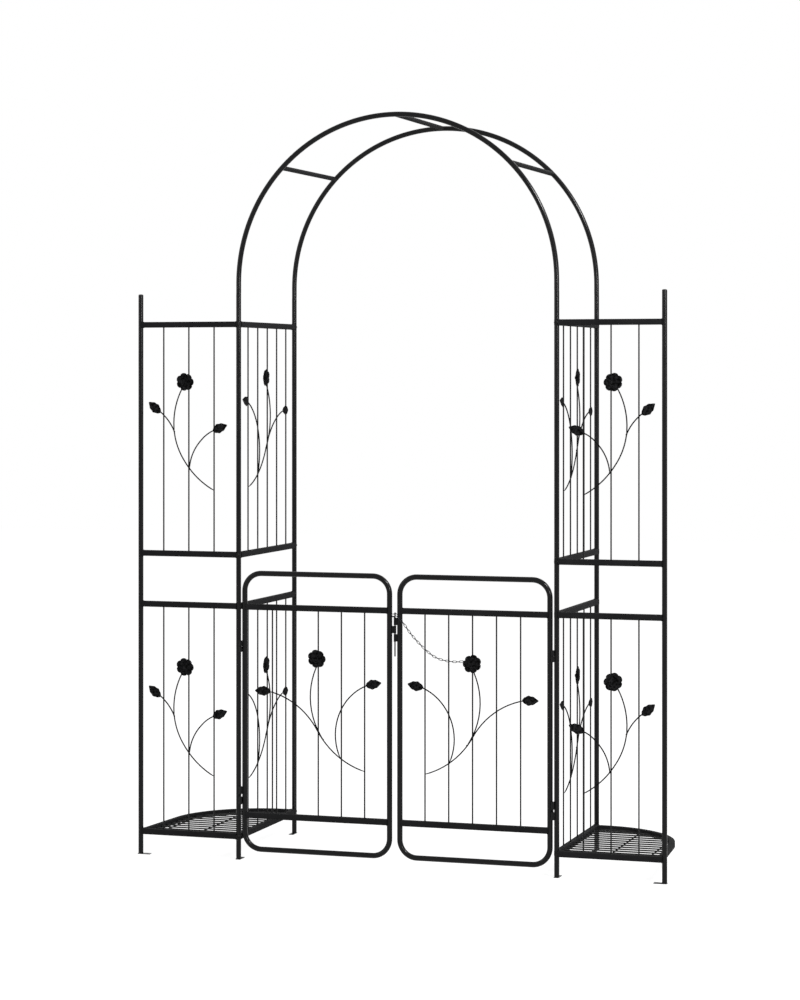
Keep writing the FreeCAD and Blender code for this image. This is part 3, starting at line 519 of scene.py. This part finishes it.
# Bolts: a hexagon head with a chamfered crown on a flange
bolt = {"corner": 5.7, "height": 4, "chamfer": 0.7, "crown": 0.84, "sink": 0.5, "shank": 3, "sides": 16}
boltFlange = {"radius": 6.1, "height": 1.1, "rim": 0.9, "sides": 24}
mesh = bmesh.new()
for low, high in partBoxes("side_panel_bolts"):
    middle = (low + high) / 2
    out = -1 if middle.y < 0 else 1
    tip, top = (low.y, high.y) if out > 0 else (high.y, low.y)
    seat = Vector((middle.x, top - out * bolt["height"] * mm, middle.z))
    roundBar(mesh, Vector((middle.x, tip, middle.z)), seat, bolt["shank"] * mm, count=bolt["sides"])
    levels = [(0, 1), (boltFlange["height"] / 2, 1), (boltFlange["height"], boltFlange["rim"])]
    outline = ringOutline(boltFlange["radius"] * mm, boltFlange["sides"])
    sweepLevels(mesh, seat, yAxis * out, outline, xAxis, levels)
    levels = [(bolt["sink"], 1), (bolt["height"] - bolt["chamfer"], 1), (bolt["height"], bolt["crown"])]
    sweepLevels(mesh, seat, yAxis * out, ringOutline(bolt["corner"] * mm, 6), xAxis, levels)
addPiece(mesh, "side_panel_boltsForged", "side_panel_bolts", blackenedSteel, sharp=25)

# Plant shelves: a rim of bent square tube from the front rail to the side rail, with round slats
shelf = {"rail": 16, "corner": 1.8, "inset": 11.5, "bend": 250, "straight": 17.5, "steps": 32}
slat = {"bite": 1, "sides": 12, "spot": (2.6, 2.6, 1.4)}


def makeShelfFrame(side, sign):
    node = f"{side}_shelf_frame"
    low, high = boxOf(node)
    half = (shelf["rail"] / 2 + coat) * mm
    z = (low.z + high.z) / 2
    bend = (shelf["bend"] - coat) * mm
    start = min(abs(low.x), abs(high.x))
    centre = Vector((start + shelf["straight"] * mm, high.y - half - bend, z))
    outerPost = abs(middleOf(f"{side}_outer_post").x)
    front = Vector((outerPost - (shelf["inset"] + coat) * mm, low.y, z))
    toFront = front - centre
    lean = math.atan2(toFront.x, -toFront.y) - math.asin(bend / toFront.length)
    path = [Vector((start, centre.y + bend, z))]
    for step in range(shelf["steps"] + 1):
        turn = math.pi / 2 + (lean - math.pi / 2) * step / shelf["steps"]
        path.append(centre + Vector((math.cos(turn), math.sin(turn), 0)) * bend)
    path.append(front)
    for point in path:
        point.x *= sign
    mesh = bmesh.new()
    sweep(mesh, path, squareOutline(2 * half, 2 * half, shelf["corner"] * mm), yAxis)
    railBead(mesh, path[0], xAxis * sign, 0)
    railBead(mesh, front, yAxis, 0)
    addPiece(mesh, node + "Tube", node, coatedRailPaintedSheen)


def makeSlats(side):
    node = f"{side}_shelf_slats"
    mesh = bmesh.new()
    spot = [size * mm for size in slat["spot"]]
    slats, bearers = [], []
    for low, high in partBoxes(node):
        along, start, end = levelLine(low, high, slat["bite"] * mm)
        roundBar(mesh, start, end, (high.z - low.z) / 2 + coat * mm, count=slat["sides"])
        for end in (start, end):
            lump(mesh, end, spot)
        (slats if along is xAxis else bearers).append((low, high))
    for low, high in slats:
        for under, over in bearers:
            x, y = (under.x + over.x) / 2, (low.y + high.y) / 2
            if low.x < x < high.x and under.y < y < over.y:
                lump(mesh, Vector((x, y, over.z)), spot, turns=8, rows=4)
    addPiece(mesh, node + "Drawn", node, coatedSteel)


for side, sign in sides.items():
    makeShelfFrame(side, sign)
    makeSlats(side)
print("bolts and shelves")

# Gate leaves: one tube bent to a frame with round corners
gate = {"tube": 7.5, "corner": 50, "steps": 16, "sides": 28}


def makeGateFrame(node):
    low, high = boxOf(node)
    tube, corner = (gate["tube"] + coat) * mm, (gate["corner"] - coat) * mm
    width, height = high.x - low.x - 2 * tube, high.z - low.z - 2 * tube
    middle = (low + high) / 2
    path = []
    for a, b in squareOutline(width, height, corner, gate["steps"]):
        path.append(Vector((middle.x + a, middle.y, middle.z + b)))
    mesh = bmesh.new()
    sweep(mesh, path, ringOutline(tube, gate["sides"]), yAxis, closed=True)
    addPiece(mesh, node + "Tube", node, coatedSteel)


for side in sides:
    makeGateFrame(f"{side}_gate_frame")

# Hinges: turned barrels on short webs, the post's pin standing in the leaf's barrel
hinge = {"barrel": 5, "bore": 2.5, "pin": 2.25, "web": 4, "webIn": 1, "edge": 0.5, "sides": 28}
jointPlace = {joint["child"]: Vector(joint["pos_m"]) for joint in frame["joints"] if "pos_m" in joint}


def hollowBar(mesh, base, height, outer, inner, edge):
    # an upright tube with eased rims
    levels = [(0, inner), (0, outer - edge), (edge, outer), (height - edge, outer)]
    levels += [(height, outer - edge), (height, inner)]
    rings = []
    for lift, radius in levels:
        outline = ringOutline(radius, hinge["sides"])
        rings.append([mesh.verts.new(base + Vector((a, b, lift))) for a, b in outline])
    for near, far in zip(rings, rings[1:] + rings[:1]):
        for j in range(hinge["sides"]):
            k = (j + 1) % hinge["sides"]
            mesh.faces.new((near[j], near[k], far[k], far[j]))


def uprightWeb(mesh, start, end, width, low, high, corner=0.6 * mm):
    # a plate from a barrel to the tube that carries it
    along = Vector((end.x - start.x, end.y - start.y, 0))
    middle = Vector((start.x, start.y, low)) + along / 2
    outline = squareOutline(along.length, width, corner)
    sweep(mesh, [middle, middle + zAxis * (high - low)], outline, along.normalized())


def makeHinges(side, sign):
    axis = jointPlace[f"{side}_gate"]
    barrel, pinRadius, edge, web = [hinge[size] * mm for size in ("barrel", "pin", "edge", "web")]
    postMiddle = middleOf(f"{side}_front_post")
    stileX = boxOf(f"{side}_gate_frame")[0 if sign < 0 else 1].x - sign * gate["tube"] * mm
    leafBarrels = sorted(partBoxes(f"{side}_gate_hinges"), key=lambda box: box[0].z)
    postBarrels = sorted(partBoxes(f"{side}_post_hinges"), key=lambda box: box[0].z)
    fixed = bmesh.new()
    for (low, high), (leafLow, leafHigh) in zip(postBarrels, leafBarrels):
        length = leafHigh.z - leafLow.z
        base = Vector((axis.x, axis.y, low.z))
        roundBar(fixed, base, base + zAxis * length, barrel, edge, hinge["sides"])
        roundBar(fixed, base + zAxis * length, Vector((axis.x, axis.y, high.z)), pinRadius, edge)
        uprightWeb(fixed, axis, postMiddle, web, low.z + edge, low.z + length - edge)
    addPiece(fixed, f"{side}PostHinges", f"{side}_post_hinges", coatedSteel)
    moving = bmesh.new()
    stile = Vector((stileX, postMiddle.y, 0))
    way = stile - axis
    way.z = 0
    start = axis + way.normalized() * ((hinge["bore"] + hinge["webIn"]) * mm)
    for low, high in leafBarrels:
        base = Vector((axis.x, axis.y, low.z))
        hollowBar(moving, base, high.z - low.z, barrel, hinge["bore"] * mm, edge)
        uprightWeb(moving, start, stile, web, low.z + edge, high.z - edge)
    addPiece(moving, f"{side}GateHinges", f"{side}_gate_hinges", coatedSteel)


for side, sign in sides.items():
    makeHinges(side, sign)
print("gate frames and hinges")

# Latch: three eyes in a row, the drop pin with its peg, and the ring in the pin's head
eye = {"radius": 3.75, "bore": 2.3, "web": 3, "webStart": 2.9, "webEnd": 4, "edge": 0.4}
pin = {
    "radius": 2,
    "point": [(0, 0.4), (0.4, 0.62), (3, 1)],  # mm from the end, share of the radius
    "head": [(1.2, 1), (0.4, 0.86), (0, 0.5)],
    "peg": 11,
    "pegEnd": [(0.9, 1), (0.3, 0.86), (0, 0.5)],
    "tilt": 10,
    "turn": 60,
    "sides": 20,
}


def makeEyes(node, side):
    sign = sides[side]
    x = middleOf("latch_pin_ring").x
    frameBox = boxOf(f"{side}_gate_frame")
    y = middleOf(f"{side}_gate_frame").y
    stileX = frameBox[1 if sign < 0 else 0].x + sign * gate["tube"] * mm
    start = Vector((x + sign * eye["webStart"] * mm, y, 0))
    end = Vector((stileX - sign * eye["webEnd"] * mm, y, 0))
    edge = eye["edge"] * mm
    mesh = bmesh.new()
    for low, high in partBoxes(node):
        base = Vector((x, y, low.z))
        hollowBar(mesh, base, high.z - low.z, eye["radius"] * mm, eye["bore"] * mm, edge)
        uprightWeb(mesh, start, end, eye["web"] * mm, low.z + edge, high.z - edge)
    addPiece(mesh, node + "Turned", node, coatedSteel)


makeEyes("left_latch_eye", "left")
makeEyes("right_latch_eyes", "right")


def makeLatchPin():
    low, high = boxOf("latch_pin")
    base = Vector((middleOf("latch_pin_ring").x, middleOf("left_gate_frame").y, low.z))
    outline = ringOutline(pin["radius"] * mm, pin["sides"])
    length = (high.z - low.z) / mm
    mesh = bmesh.new()
    levels = pin["point"] + [(length - back, size) for back, size in pin["head"]]
    sweepLevels(mesh, base, zAxis, outline, xAxis, levels)
    tilt, turn = math.radians(pin["tilt"]), math.radians(pin["turn"])
    level = Vector((-math.cos(turn), -math.sin(turn), 0))
    way = level * math.cos(tilt) + zAxis * math.sin(tilt)
    eyesTop = boxOf("right_latch_eyes")[1].z
    start = Vector((base.x, base.y, eyesTop + pin["radius"] * mm / math.cos(tilt)))
    levels = [(0, 1)] + [(pin["peg"] - back, size) for back, size in pin["pegEnd"]]
    sweepLevels(mesh, start, way, outline, zAxis, levels)
    addPiece(mesh, "latchDropPin", "latch_pin", coatedSteel)


makeLatchPin()

# Chain: welded links of round wire, each laid where its CAD link is, and a flat ring at each end
chain = {"wire": 0.7, "plating": 0.15, "inside": 10.5, "outside": 6.4, "bendSteps": 8, "sides": 8}
endRing = {"radius": 5.3, "steps": 32, "sides": 10, "flat": 2}
chainWire = (chain["wire"] + chain["plating"]) * mm


def stadium(half, radius, steps):
    # the middle line of a link: two straight sides and two round ends
    points = []
    for end in (0, 1):
        for step in range(steps + 1):
            turn = math.pi * (end + step / steps) - math.pi / 2
            middle = -half if end else half
            points.append((middle + radius * math.cos(turn), radius * math.sin(turn)))
    return points


def partAxes(part):
    # a link's middle, long axis, cross axis and normal, from its corners
    middle = part.mean(axis=0)
    _, directions = np.linalg.eigh(np.cov((part - middle).T))
    return Vector(middle), Vector(directions[:, 2]), Vector(directions[:, 1]), Vector(directions[:, 0])


def makeRing(mesh, part):
    middle = Vector((part.min(axis=0) + part.max(axis=0)) / 2)
    outline = ringOutline((endRing["radius"] - chain["plating"]) * mm, endRing["steps"])
    path = [middle + Vector((a, b, 0)) for a, b in outline]
    sweep(mesh, path, ringOutline(chainWire, endRing["sides"]), zAxis, closed=True)


def makeChain():
    mesh = bmesh.new()
    radius = (chain["outside"] / 2 - chain["wire"]) * mm
    half = (chain["inside"] / 2 + chain["wire"]) * mm - radius
    for part in looseParts("latch_chain"):
        if np.ptp(part[:, 2]) < endRing["flat"] * mm:
            makeRing(mesh, part)
            continue
        middle, along, across, normal = partAxes(part)
        path = [middle + along * a + across * b for a, b in stadium(half, radius, chain["bendSteps"])]
        sweep(mesh, path, ringOutline(chainWire, chain["sides"]), normal, closed=True)
    return mesh


mesh = bmesh.new()
makeRing(mesh, looseParts("latch_pin_ring")[0])
addPiece(mesh, "latchPinRing", "latch_pin_ring", platedSteel)
print("latch and pin ring")

# Vines: welded wire stems with pressed leaves and flowers. Points are in millimetres across and
# up from the stem's lower end, and each arc has a start, a point on its way and an end.
frontVine = {
    "stems": [
        [
            ((0, 0), (57, 42), (92, 86)),
            ((92, 86), (112, 126), (122, 168)),
            ((122, 168), (140, 199), (170, 228)),
        ],
        [((75, 62), (66, 101), (38, 144)), ((38, 144), (22, 159), (-1, 172))],
        [((122, 168), (121, 222), (86, 311))],
    ],
    "leaves": [((165, 222), (204, 255)), ((3, 170), (-42, 188))],
    "flower": (86, 311),
}
gateVine = {
    "stems": [
        [((0, 0), (77, 38), (140, 109)), ((140, 109), (205, 181), (289, 216.5))],
        [((72, 35), (85, 121), (56, 193)), ((56, 193), (29, 221), (-9, 243))],
        [((123, 85), (161.5, 208), (144, 288)), ((144, 288), (142, 301), (139, 313))],
    ],
    "leaves": [((282, 217), (328, 217)), ((-4, 242), (-53, 252))],
    "flower": (140, 314),
}
sideVine = {
    "stems": gateVine["stems"][:2] + [
        [((139, 108), (175, 212), (145, 290)), ((145, 290), (136, 303), (125, 313))],
    ],
    "leaves": gateVine["leaves"],
    "flower": (124, 314),
}
# Where each stem starts: across from the panel's middle, and up from its lower rail's middle
vineStarts = {
    "front_upper": (frontVine, -76, 184),
    "front_lower": (frontVine, -76, 169),
    "side_upper": (sideVine, -158, 193),
    "side_lower": (sideVine, -158, 157),
    "gate": (gateVine, -143.6, 140),
}
# The stems, and the welds on the wires and where a branch leaves; out is in front of the wires' middle
stem = {"radius": 1.5, "end": 0.55, "out": 3.2, "arcSteps": 12, "sides": 10}
stemWeld = {"out": 2.3, "spot": (1.8, 1.8, 2.34), "root": (2.8, 2.8, 2.8), "turns": 8, "rows": 5}
# A leaf's fullness and belly shape its outline, and cup, midrib and vein are heights in mm
leaf = {
    "length": 47.5,
    "width": 27,
    "fullness": 0.8,
    "belly": 0.85,
    "stalk": 1.2,
    "point": 0.3,
    "wave": 0.065,
    "waves": 3.2,
    "thick": 0.9,
    "out": 2.4,
    "cup": 2.0,
    "midrib": 0.55,
    "midribShare": 1 / 3,
    "vein": 0.22,
    "veins": 6,
    "veinLean": 1.4,
    "rows": 28,
    "columns": 10,
}
# A flower's back, crease, ripple and dip are in mm, and so is its boss, which carries it on the wire
flower = {
    "back": 7.5,
    "thick": 0.8,
    "hub": 0.04,
    "roundness": 0.6,
    "crease": 0.7,
    "ripple": 0.25,
    "slant": 0.6,
    "dip": -0.1,
    "rings": 7,
    "petalSteps": 10,
    "boss": 4,
    "bossBack": 1.9,
    "bossIn": 0.6,
    "bossSides": 16,
}
petalRows = [
    {"radius": 26.3, "petals": 7, "depth": 0.14, "uneven": 0.035, "lift": 0.2, "cup": 1.8, "turn": 0.0},
    {"radius": 19.5, "petals": 6, "depth": 0.18, "uneven": 0.03, "lift": 1.1, "cup": 2.2, "turn": 0.35},
    {"radius": 13, "petals": 5, "depth": 0.2, "uneven": 0.02, "lift": 1.8, "cup": 2.4, "turn": 0.9},
    {"radius": 7, "petals": 3, "depth": 0.22, "uneven": 0.0, "lift": 2.2, "cup": 2.4, "turn": 0.2},
]


def arcPoints(first, via, last, steps):
    # points on the circle through three points
    (ax, ay), (bx, by), (cx, cy) = first, via, last
    d = 2 * (ax * (by - cy) + bx * (cy - ay) + cx * (ay - by))
    squares = [ax * ax + ay * ay, bx * bx + by * by, cx * cx + cy * cy]
    ux = (squares[0] * (by - cy) + squares[1] * (cy - ay) + squares[2] * (ay - by)) / d
    uy = (squares[0] * (cx - bx) + squares[1] * (ax - cx) + squares[2] * (bx - ax)) / d
    radius = math.hypot(ax - ux, ay - uy)
    turns = [math.atan2(y - uy, x - ux) for x, y in (first, via, last)]
    for i in (1, 2):
        while turns[i] - turns[i - 1] > math.pi:
            turns[i] -= 2 * math.pi
        while turns[i] - turns[i - 1] < -math.pi:
            turns[i] += 2 * math.pi
    points = []
    for step in range(steps + 1):
        turn = turns[0] + (turns[2] - turns[0]) * step / steps
        points.append((ux + radius * math.cos(turn), uy + radius * math.sin(turn)))
    return points


def weldSpot(mesh, middle, radii):
    lump(mesh, middle, [size * mm for size in radii], stemWeld["turns"], stemWeld["rows"])


def makeStem(mesh, arcs, place):
    line = []
    for arc in arcs:
        points = arcPoints(*arc, stem["arcSteps"])
        line += points[1:] if line else points
    path = [place(u, v, stem["out"]) for u, v in line]
    sizes = [stem["end"]] + [1] * (len(path) - 2) + [stem["end"]]
    start = place(0, 0, 1) - place(0, 0, 0)
    outline = ringOutline((stem["radius"] + wireCoat) * mm, stem["sides"])
    sweep(mesh, path, outline, start.normalized(), sizes=sizes)
    return line


def weldStem(mesh, line, wireAcross, place):
    # a spot of weld wherever the stem crosses one of the panel's wires
    for (u0, v0), (u1, v1) in zip(line, line[1:]):
        for u in wireAcross:
            if (u0 - u) * (u1 - u) < 0:
                v = v0 + (v1 - v0) * (u - u0) / (u1 - u0)
                weldSpot(mesh, place(u, v, stemWeld["out"]), stemWeld["spot"])


def makeLeaf(mesh, base, tip, place):
    # a pointed pressing with a wavy edge, a midrib and side veins, cupped towards the front
    way = Vector((tip[0] - base[0], tip[1] - base[1])).normalized()
    side = Vector((-way.y, way.x))
    front, back = [], []
    for row in range(leaf["rows"] + 1):
        run = row / leaf["rows"]
        swell = math.sin(math.pi * run)
        half = leaf["point"]
        if 0 < row < leaf["rows"]:
            half = leaf["width"] / 2 * math.sin(math.pi * run ** leaf["belly"]) ** leaf["fullness"]
        half = max(half, leaf["stalk"] * (1 - run))
        half *= 1 + leaf["wave"] * math.sin(2 * math.pi * leaf["waves"] * run)
        nearLine, farLine = [], []
        for column in range(leaf["columns"] + 1):
            share = 2 * column / leaf["columns"] - 1
            rib = math.cos(math.pi / 2 * min(abs(share) / leaf["midribShare"], 1))
            vein = math.sin(2 * math.pi * (leaf["veins"] * run - leaf["veinLean"] * abs(share)))
            out = leaf["out"] + leaf["cup"] * share**2 * swell
            out += leaf["midrib"] * rib * swell + leaf["vein"] * vein * (1 - share**2)
            u = base[0] + way.x * run * leaf["length"] + side.x * share * half
            v = base[1] + way.y * run * leaf["length"] + side.y * share * half
            nearLine.append(mesh.verts.new(place(u, v, out + leaf["thick"] / 2)))
            farLine.append(mesh.verts.new(place(u, v, out - leaf["thick"] / 2)))
        front.append(nearLine)
        back.append(farLine)
    closeSheet(mesh, front, back)


def closeSheet(mesh, front, back):
    # faces on both sides of a grid and round its edge
    rows, columns = len(front), len(front[0])
    for i in range(rows - 1):
        for j in range(columns - 1):
            mesh.faces.new((front[i][j], front[i][j + 1], front[i + 1][j + 1], front[i + 1][j]))
            mesh.faces.new((back[i][j], back[i + 1][j], back[i + 1][j + 1], back[i][j + 1]))
    rim = [(0, j) for j in range(columns)] + [(i, columns - 1) for i in range(1, rows)]
    rim += [(rows - 1, j) for j in range(columns - 2, -1, -1)] + [(i, 0) for i in range(rows - 2, 0, -1)]
    for (i, j), (k, l) in zip(rim, rim[1:] + rim[:1]):
        mesh.faces.new((front[i][j], back[i][j], back[k][l], front[k][l]))


def makePetals(mesh, middle, row, place):
    # one layer of the flower: round petals with creases between them, dished towards the front
    steps = row["petals"] * flower["petalSteps"]
    levels = []
    for ringStep in range(flower["rings"] + 1):
        share = flower["hub"] + (1 - flower["hub"]) * ringStep / flower["rings"]
        front, back = [], []
        for step in range(steps):
            turn = 2 * math.pi * step / steps
            crease = 1 - abs(math.sin(row["petals"] * turn / 2)) ** flower["roundness"]
            reach = row["radius"] * share * (1 - row["depth"] * crease * share)
            reach *= 1 + row["uneven"] * math.sin(2 * turn + flower["slant"]) * share
            lift = row["cup"] * share**2 - flower["crease"] * crease * share
            lift += flower["ripple"] * math.sin(3 * row["petals"] * turn) * share**2
            u = middle[0] + reach * math.cos(turn + row["turn"])
            v = middle[1] + reach * math.sin(turn + row["turn"])
            out = flower["back"] + row["lift"] + max(lift, flower["dip"])
            front.append(mesh.verts.new(place(u, v, out + flower["thick"])))
            back.append(mesh.verts.new(place(u, v, out)))
        levels.append((front, back))
    for j in range(steps):
        k = (j + 1) % steps
        for (front, back), (nextFront, nextBack) in zip(levels, levels[1:]):
            mesh.faces.new((front[j], front[k], nextFront[k], nextFront[j]))
            mesh.faces.new((back[j], nextBack[j], nextBack[k], back[k]))
        front, back = levels[-1]
        mesh.faces.new((front[j], front[k], back[k], back[j]))
    mesh.faces.new(levels[0][0][::-1])
    mesh.faces.new(levels[0][1])


def makeVine(side, sign, panel):
    pattern, start, rise = vineStarts[panel]
    node = f"{side}_{panel}_vine"
    along, out = (yAxis, xAxis) if panel.startswith("side") else (xAxis * sign, -yAxis)
    low, high = min(partBoxes(f"{side}_{panel}_rails"), key=lambda box: box[0].z)
    middle = (low + high) / 2
    if panel.startswith("front"):
        middle.x = (middleOf(f"{side}_outer_post").x + middleOf(f"{side}_front_post").x) / 2
    origin = middle + along * (start * mm) + zAxis * (rise * mm)

    def place(u, v, forward):
        return origin + (along * u + zAxis * v + out * forward) * mm

    wires = partBoxes(f"{side}_{panel.split('_')[0]}_wires")
    wireAcross = sorted({round(((a + b) / 2 - origin).dot(along) / mm, 1) for a, b in wires})
    mesh = bmesh.new()
    for i, arcs in enumerate(pattern["stems"]):
        weldStem(mesh, makeStem(mesh, arcs, place), wireAcross, place)
        if i:
            weldSpot(mesh, place(*arcs[0][0], stem["out"]), stemWeld["root"])
    for base, tip in pattern["leaves"]:
        makeLeaf(mesh, base, tip, place)
    for row in petalRows:
        makePetals(mesh, pattern["flower"], row, place)
    boss = [place(*pattern["flower"], flower["bossBack"])]
    boss.append(place(*pattern["flower"], flower["back"] + flower["bossIn"]))
    sweep(mesh, boss, ringOutline(flower["boss"] * mm, flower["bossSides"]), zAxis)
    # the pressings' coat carries painted glints in its grey patches
    addPiece(mesh, node + "Pressed", node, coatedOrnamentPaintedGlints, sharp=50)


for side, sign in sides.items():
    for panel in vineStarts:
        makeVine(side, sign, panel)
print("vines")

# The feet keep their CAD shape
for side in sides:
    feet = cadNodes[f"{side}_feet"]
    feet.data.materials.clear()
    feet.data.materials.append(coatedSteel)

# The chain, drawn at rest with its placement baked into the mesh. On the real gate its far ring slides on the
# gate's wire as the pin is lifted
chainPiece = newPiece(makeChain(), "latchChain", "latch_chain", platedSteel, sharp=180)
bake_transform(chainPiece)
print("chain")

# Studio: a pale floor and a pale world, both seen as white by the camera and by glossy coats.
# The floor is only just white there, since a brighter one would eat into thin wires in front of it
studio = {"floor": "#f4f4f4", "reach": 30, "worldLight": 0.55, "whiteShare": 0.75, "whiteGlow": 1.17}
white = (1, 1, 1, 1)


def seenRays(tree):
    # 1 for camera, glossy and transmission rays, 0 for the light that falls on the object
    rays = addNode(tree, "ShaderNodeLightPath", {}).outputs
    seen = rays["Is Camera Ray"]
    for name in ("Is Glossy Ray", "Is Transmission Ray"):
        links = [(seen, 0), (rays[name], 1)]
        seen = addNode(tree, "ShaderNodeMath", {"operation": "MAXIMUM"}, links).outputs[0]
    return seen


world = bpy.data.worlds.new("studio")
scene.world = world
world.use_nodes = True
tree = world.node_tree
tree.nodes.clear()
settings = {"To Min": studio["worldLight"], "To Max": 1.0}
strength = addNode(tree, "ShaderNodeMapRange", settings, [(seenRays(tree), "Value")])
links = [(strength.outputs["Result"], "Strength")]
background = addNode(tree, "ShaderNodeBackground", {"Color": white}, links)
addNode(tree, "ShaderNodeOutputWorld", {}, [(background.outputs["Background"], "Surface")])

floorMaterial, tree = newMaterial("paleFloor")
diffuse = addNode(tree, "ShaderNodeBsdfDiffuse", {"Color": linearColour(studio["floor"])})
settings = {"To Min": 0.0, "To Max": studio["whiteShare"]}
share = addNode(tree, "ShaderNodeMapRange", settings, [(seenRays(tree), "Value")])
glow = addNode(tree, "ShaderNodeEmission", {"Color": white, "Strength": studio["whiteGlow"]})
links = [(share.outputs["Result"], 0), (diffuse.outputs["BSDF"], 1), (glow.outputs["Emission"], 2)]
both = addNode(tree, "ShaderNodeMixShader", {}, links)
addNode(tree, "ShaderNodeOutputMaterial", {}, [(both.outputs["Shader"], "Surface")])
mesh = bmesh.new()
bmesh.ops.create_grid(mesh, x_segments=1, y_segments=1, size=studio["reach"] / 2)
floorData = bpy.data.meshes.new("floor")
mesh.to_mesh(floorData)
mesh.free()
floorData.materials.append(floorMaterial)
floor = bpy.data.objects.new("floor", floorData)
scene.collection.objects.link(floor)

# Lamps: a key high on the right, a long low one for the tubes' highlights, and soft ones from the
# left and from behind. Sizes are in metres, width and height
lamps = {
    "key": {"place": (3.3, -1.9, 4.2), "aim": (0, 0, 1.2), "size": (1.1, 0.6), "power": 225},
    "side": {"place": (3.6, -3.3, 1.95), "aim": (0, 0, 1.6), "size": (1.3, 0.3), "power": 66},
    "fill": {"place": (-4.5, -3.5, 2.6), "aim": (0, 0, 1.0), "size": (3.0, 3.0), "power": 45},
    "back": {"place": (1.5, 4.5, 4.0), "aim": (0, 0, 1.2), "size": (2.5, 2.5), "power": 40},
}
for name, lamp in lamps.items():
    light = bpy.data.lights.new(name, "AREA")
    light.shape = "RECTANGLE"
    light.size, light.size_y = lamp["size"]
    light.energy = lamp["power"]
    holder = bpy.data.objects.new(name, light)
    holder.location = lamp["place"]
    aim = Vector(lamp["aim"]) - holder.location
    holder.rotation_euler = aim.to_track_quat("-Z", "Y").to_euler()
    scene.collection.objects.link(holder)

# Camera: level, with the frame shifted down as in the photograph
camera = {"lens": 98.0, "sensor": 36, "place": (2.3482, -7.5144, 1.3806), "turn": 17.763, "shift": -0.123}
lens = bpy.data.cameras.new("camera")
lens.sensor_fit = "VERTICAL"
lens.sensor_height = camera["sensor"]
lens.sensor_width = camera["sensor"]
lens.lens = camera["lens"]
lens.shift_y = camera["shift"]
viewer = bpy.data.objects.new("camera", lens)
viewer.location = camera["place"]
viewer.rotation_euler = (math.radians(90), 0, math.radians(camera["turn"]))
scene.collection.objects.link(viewer)
scene.camera = viewer
scene.view_settings.view_transform = "Standard"
print("studio and camera")
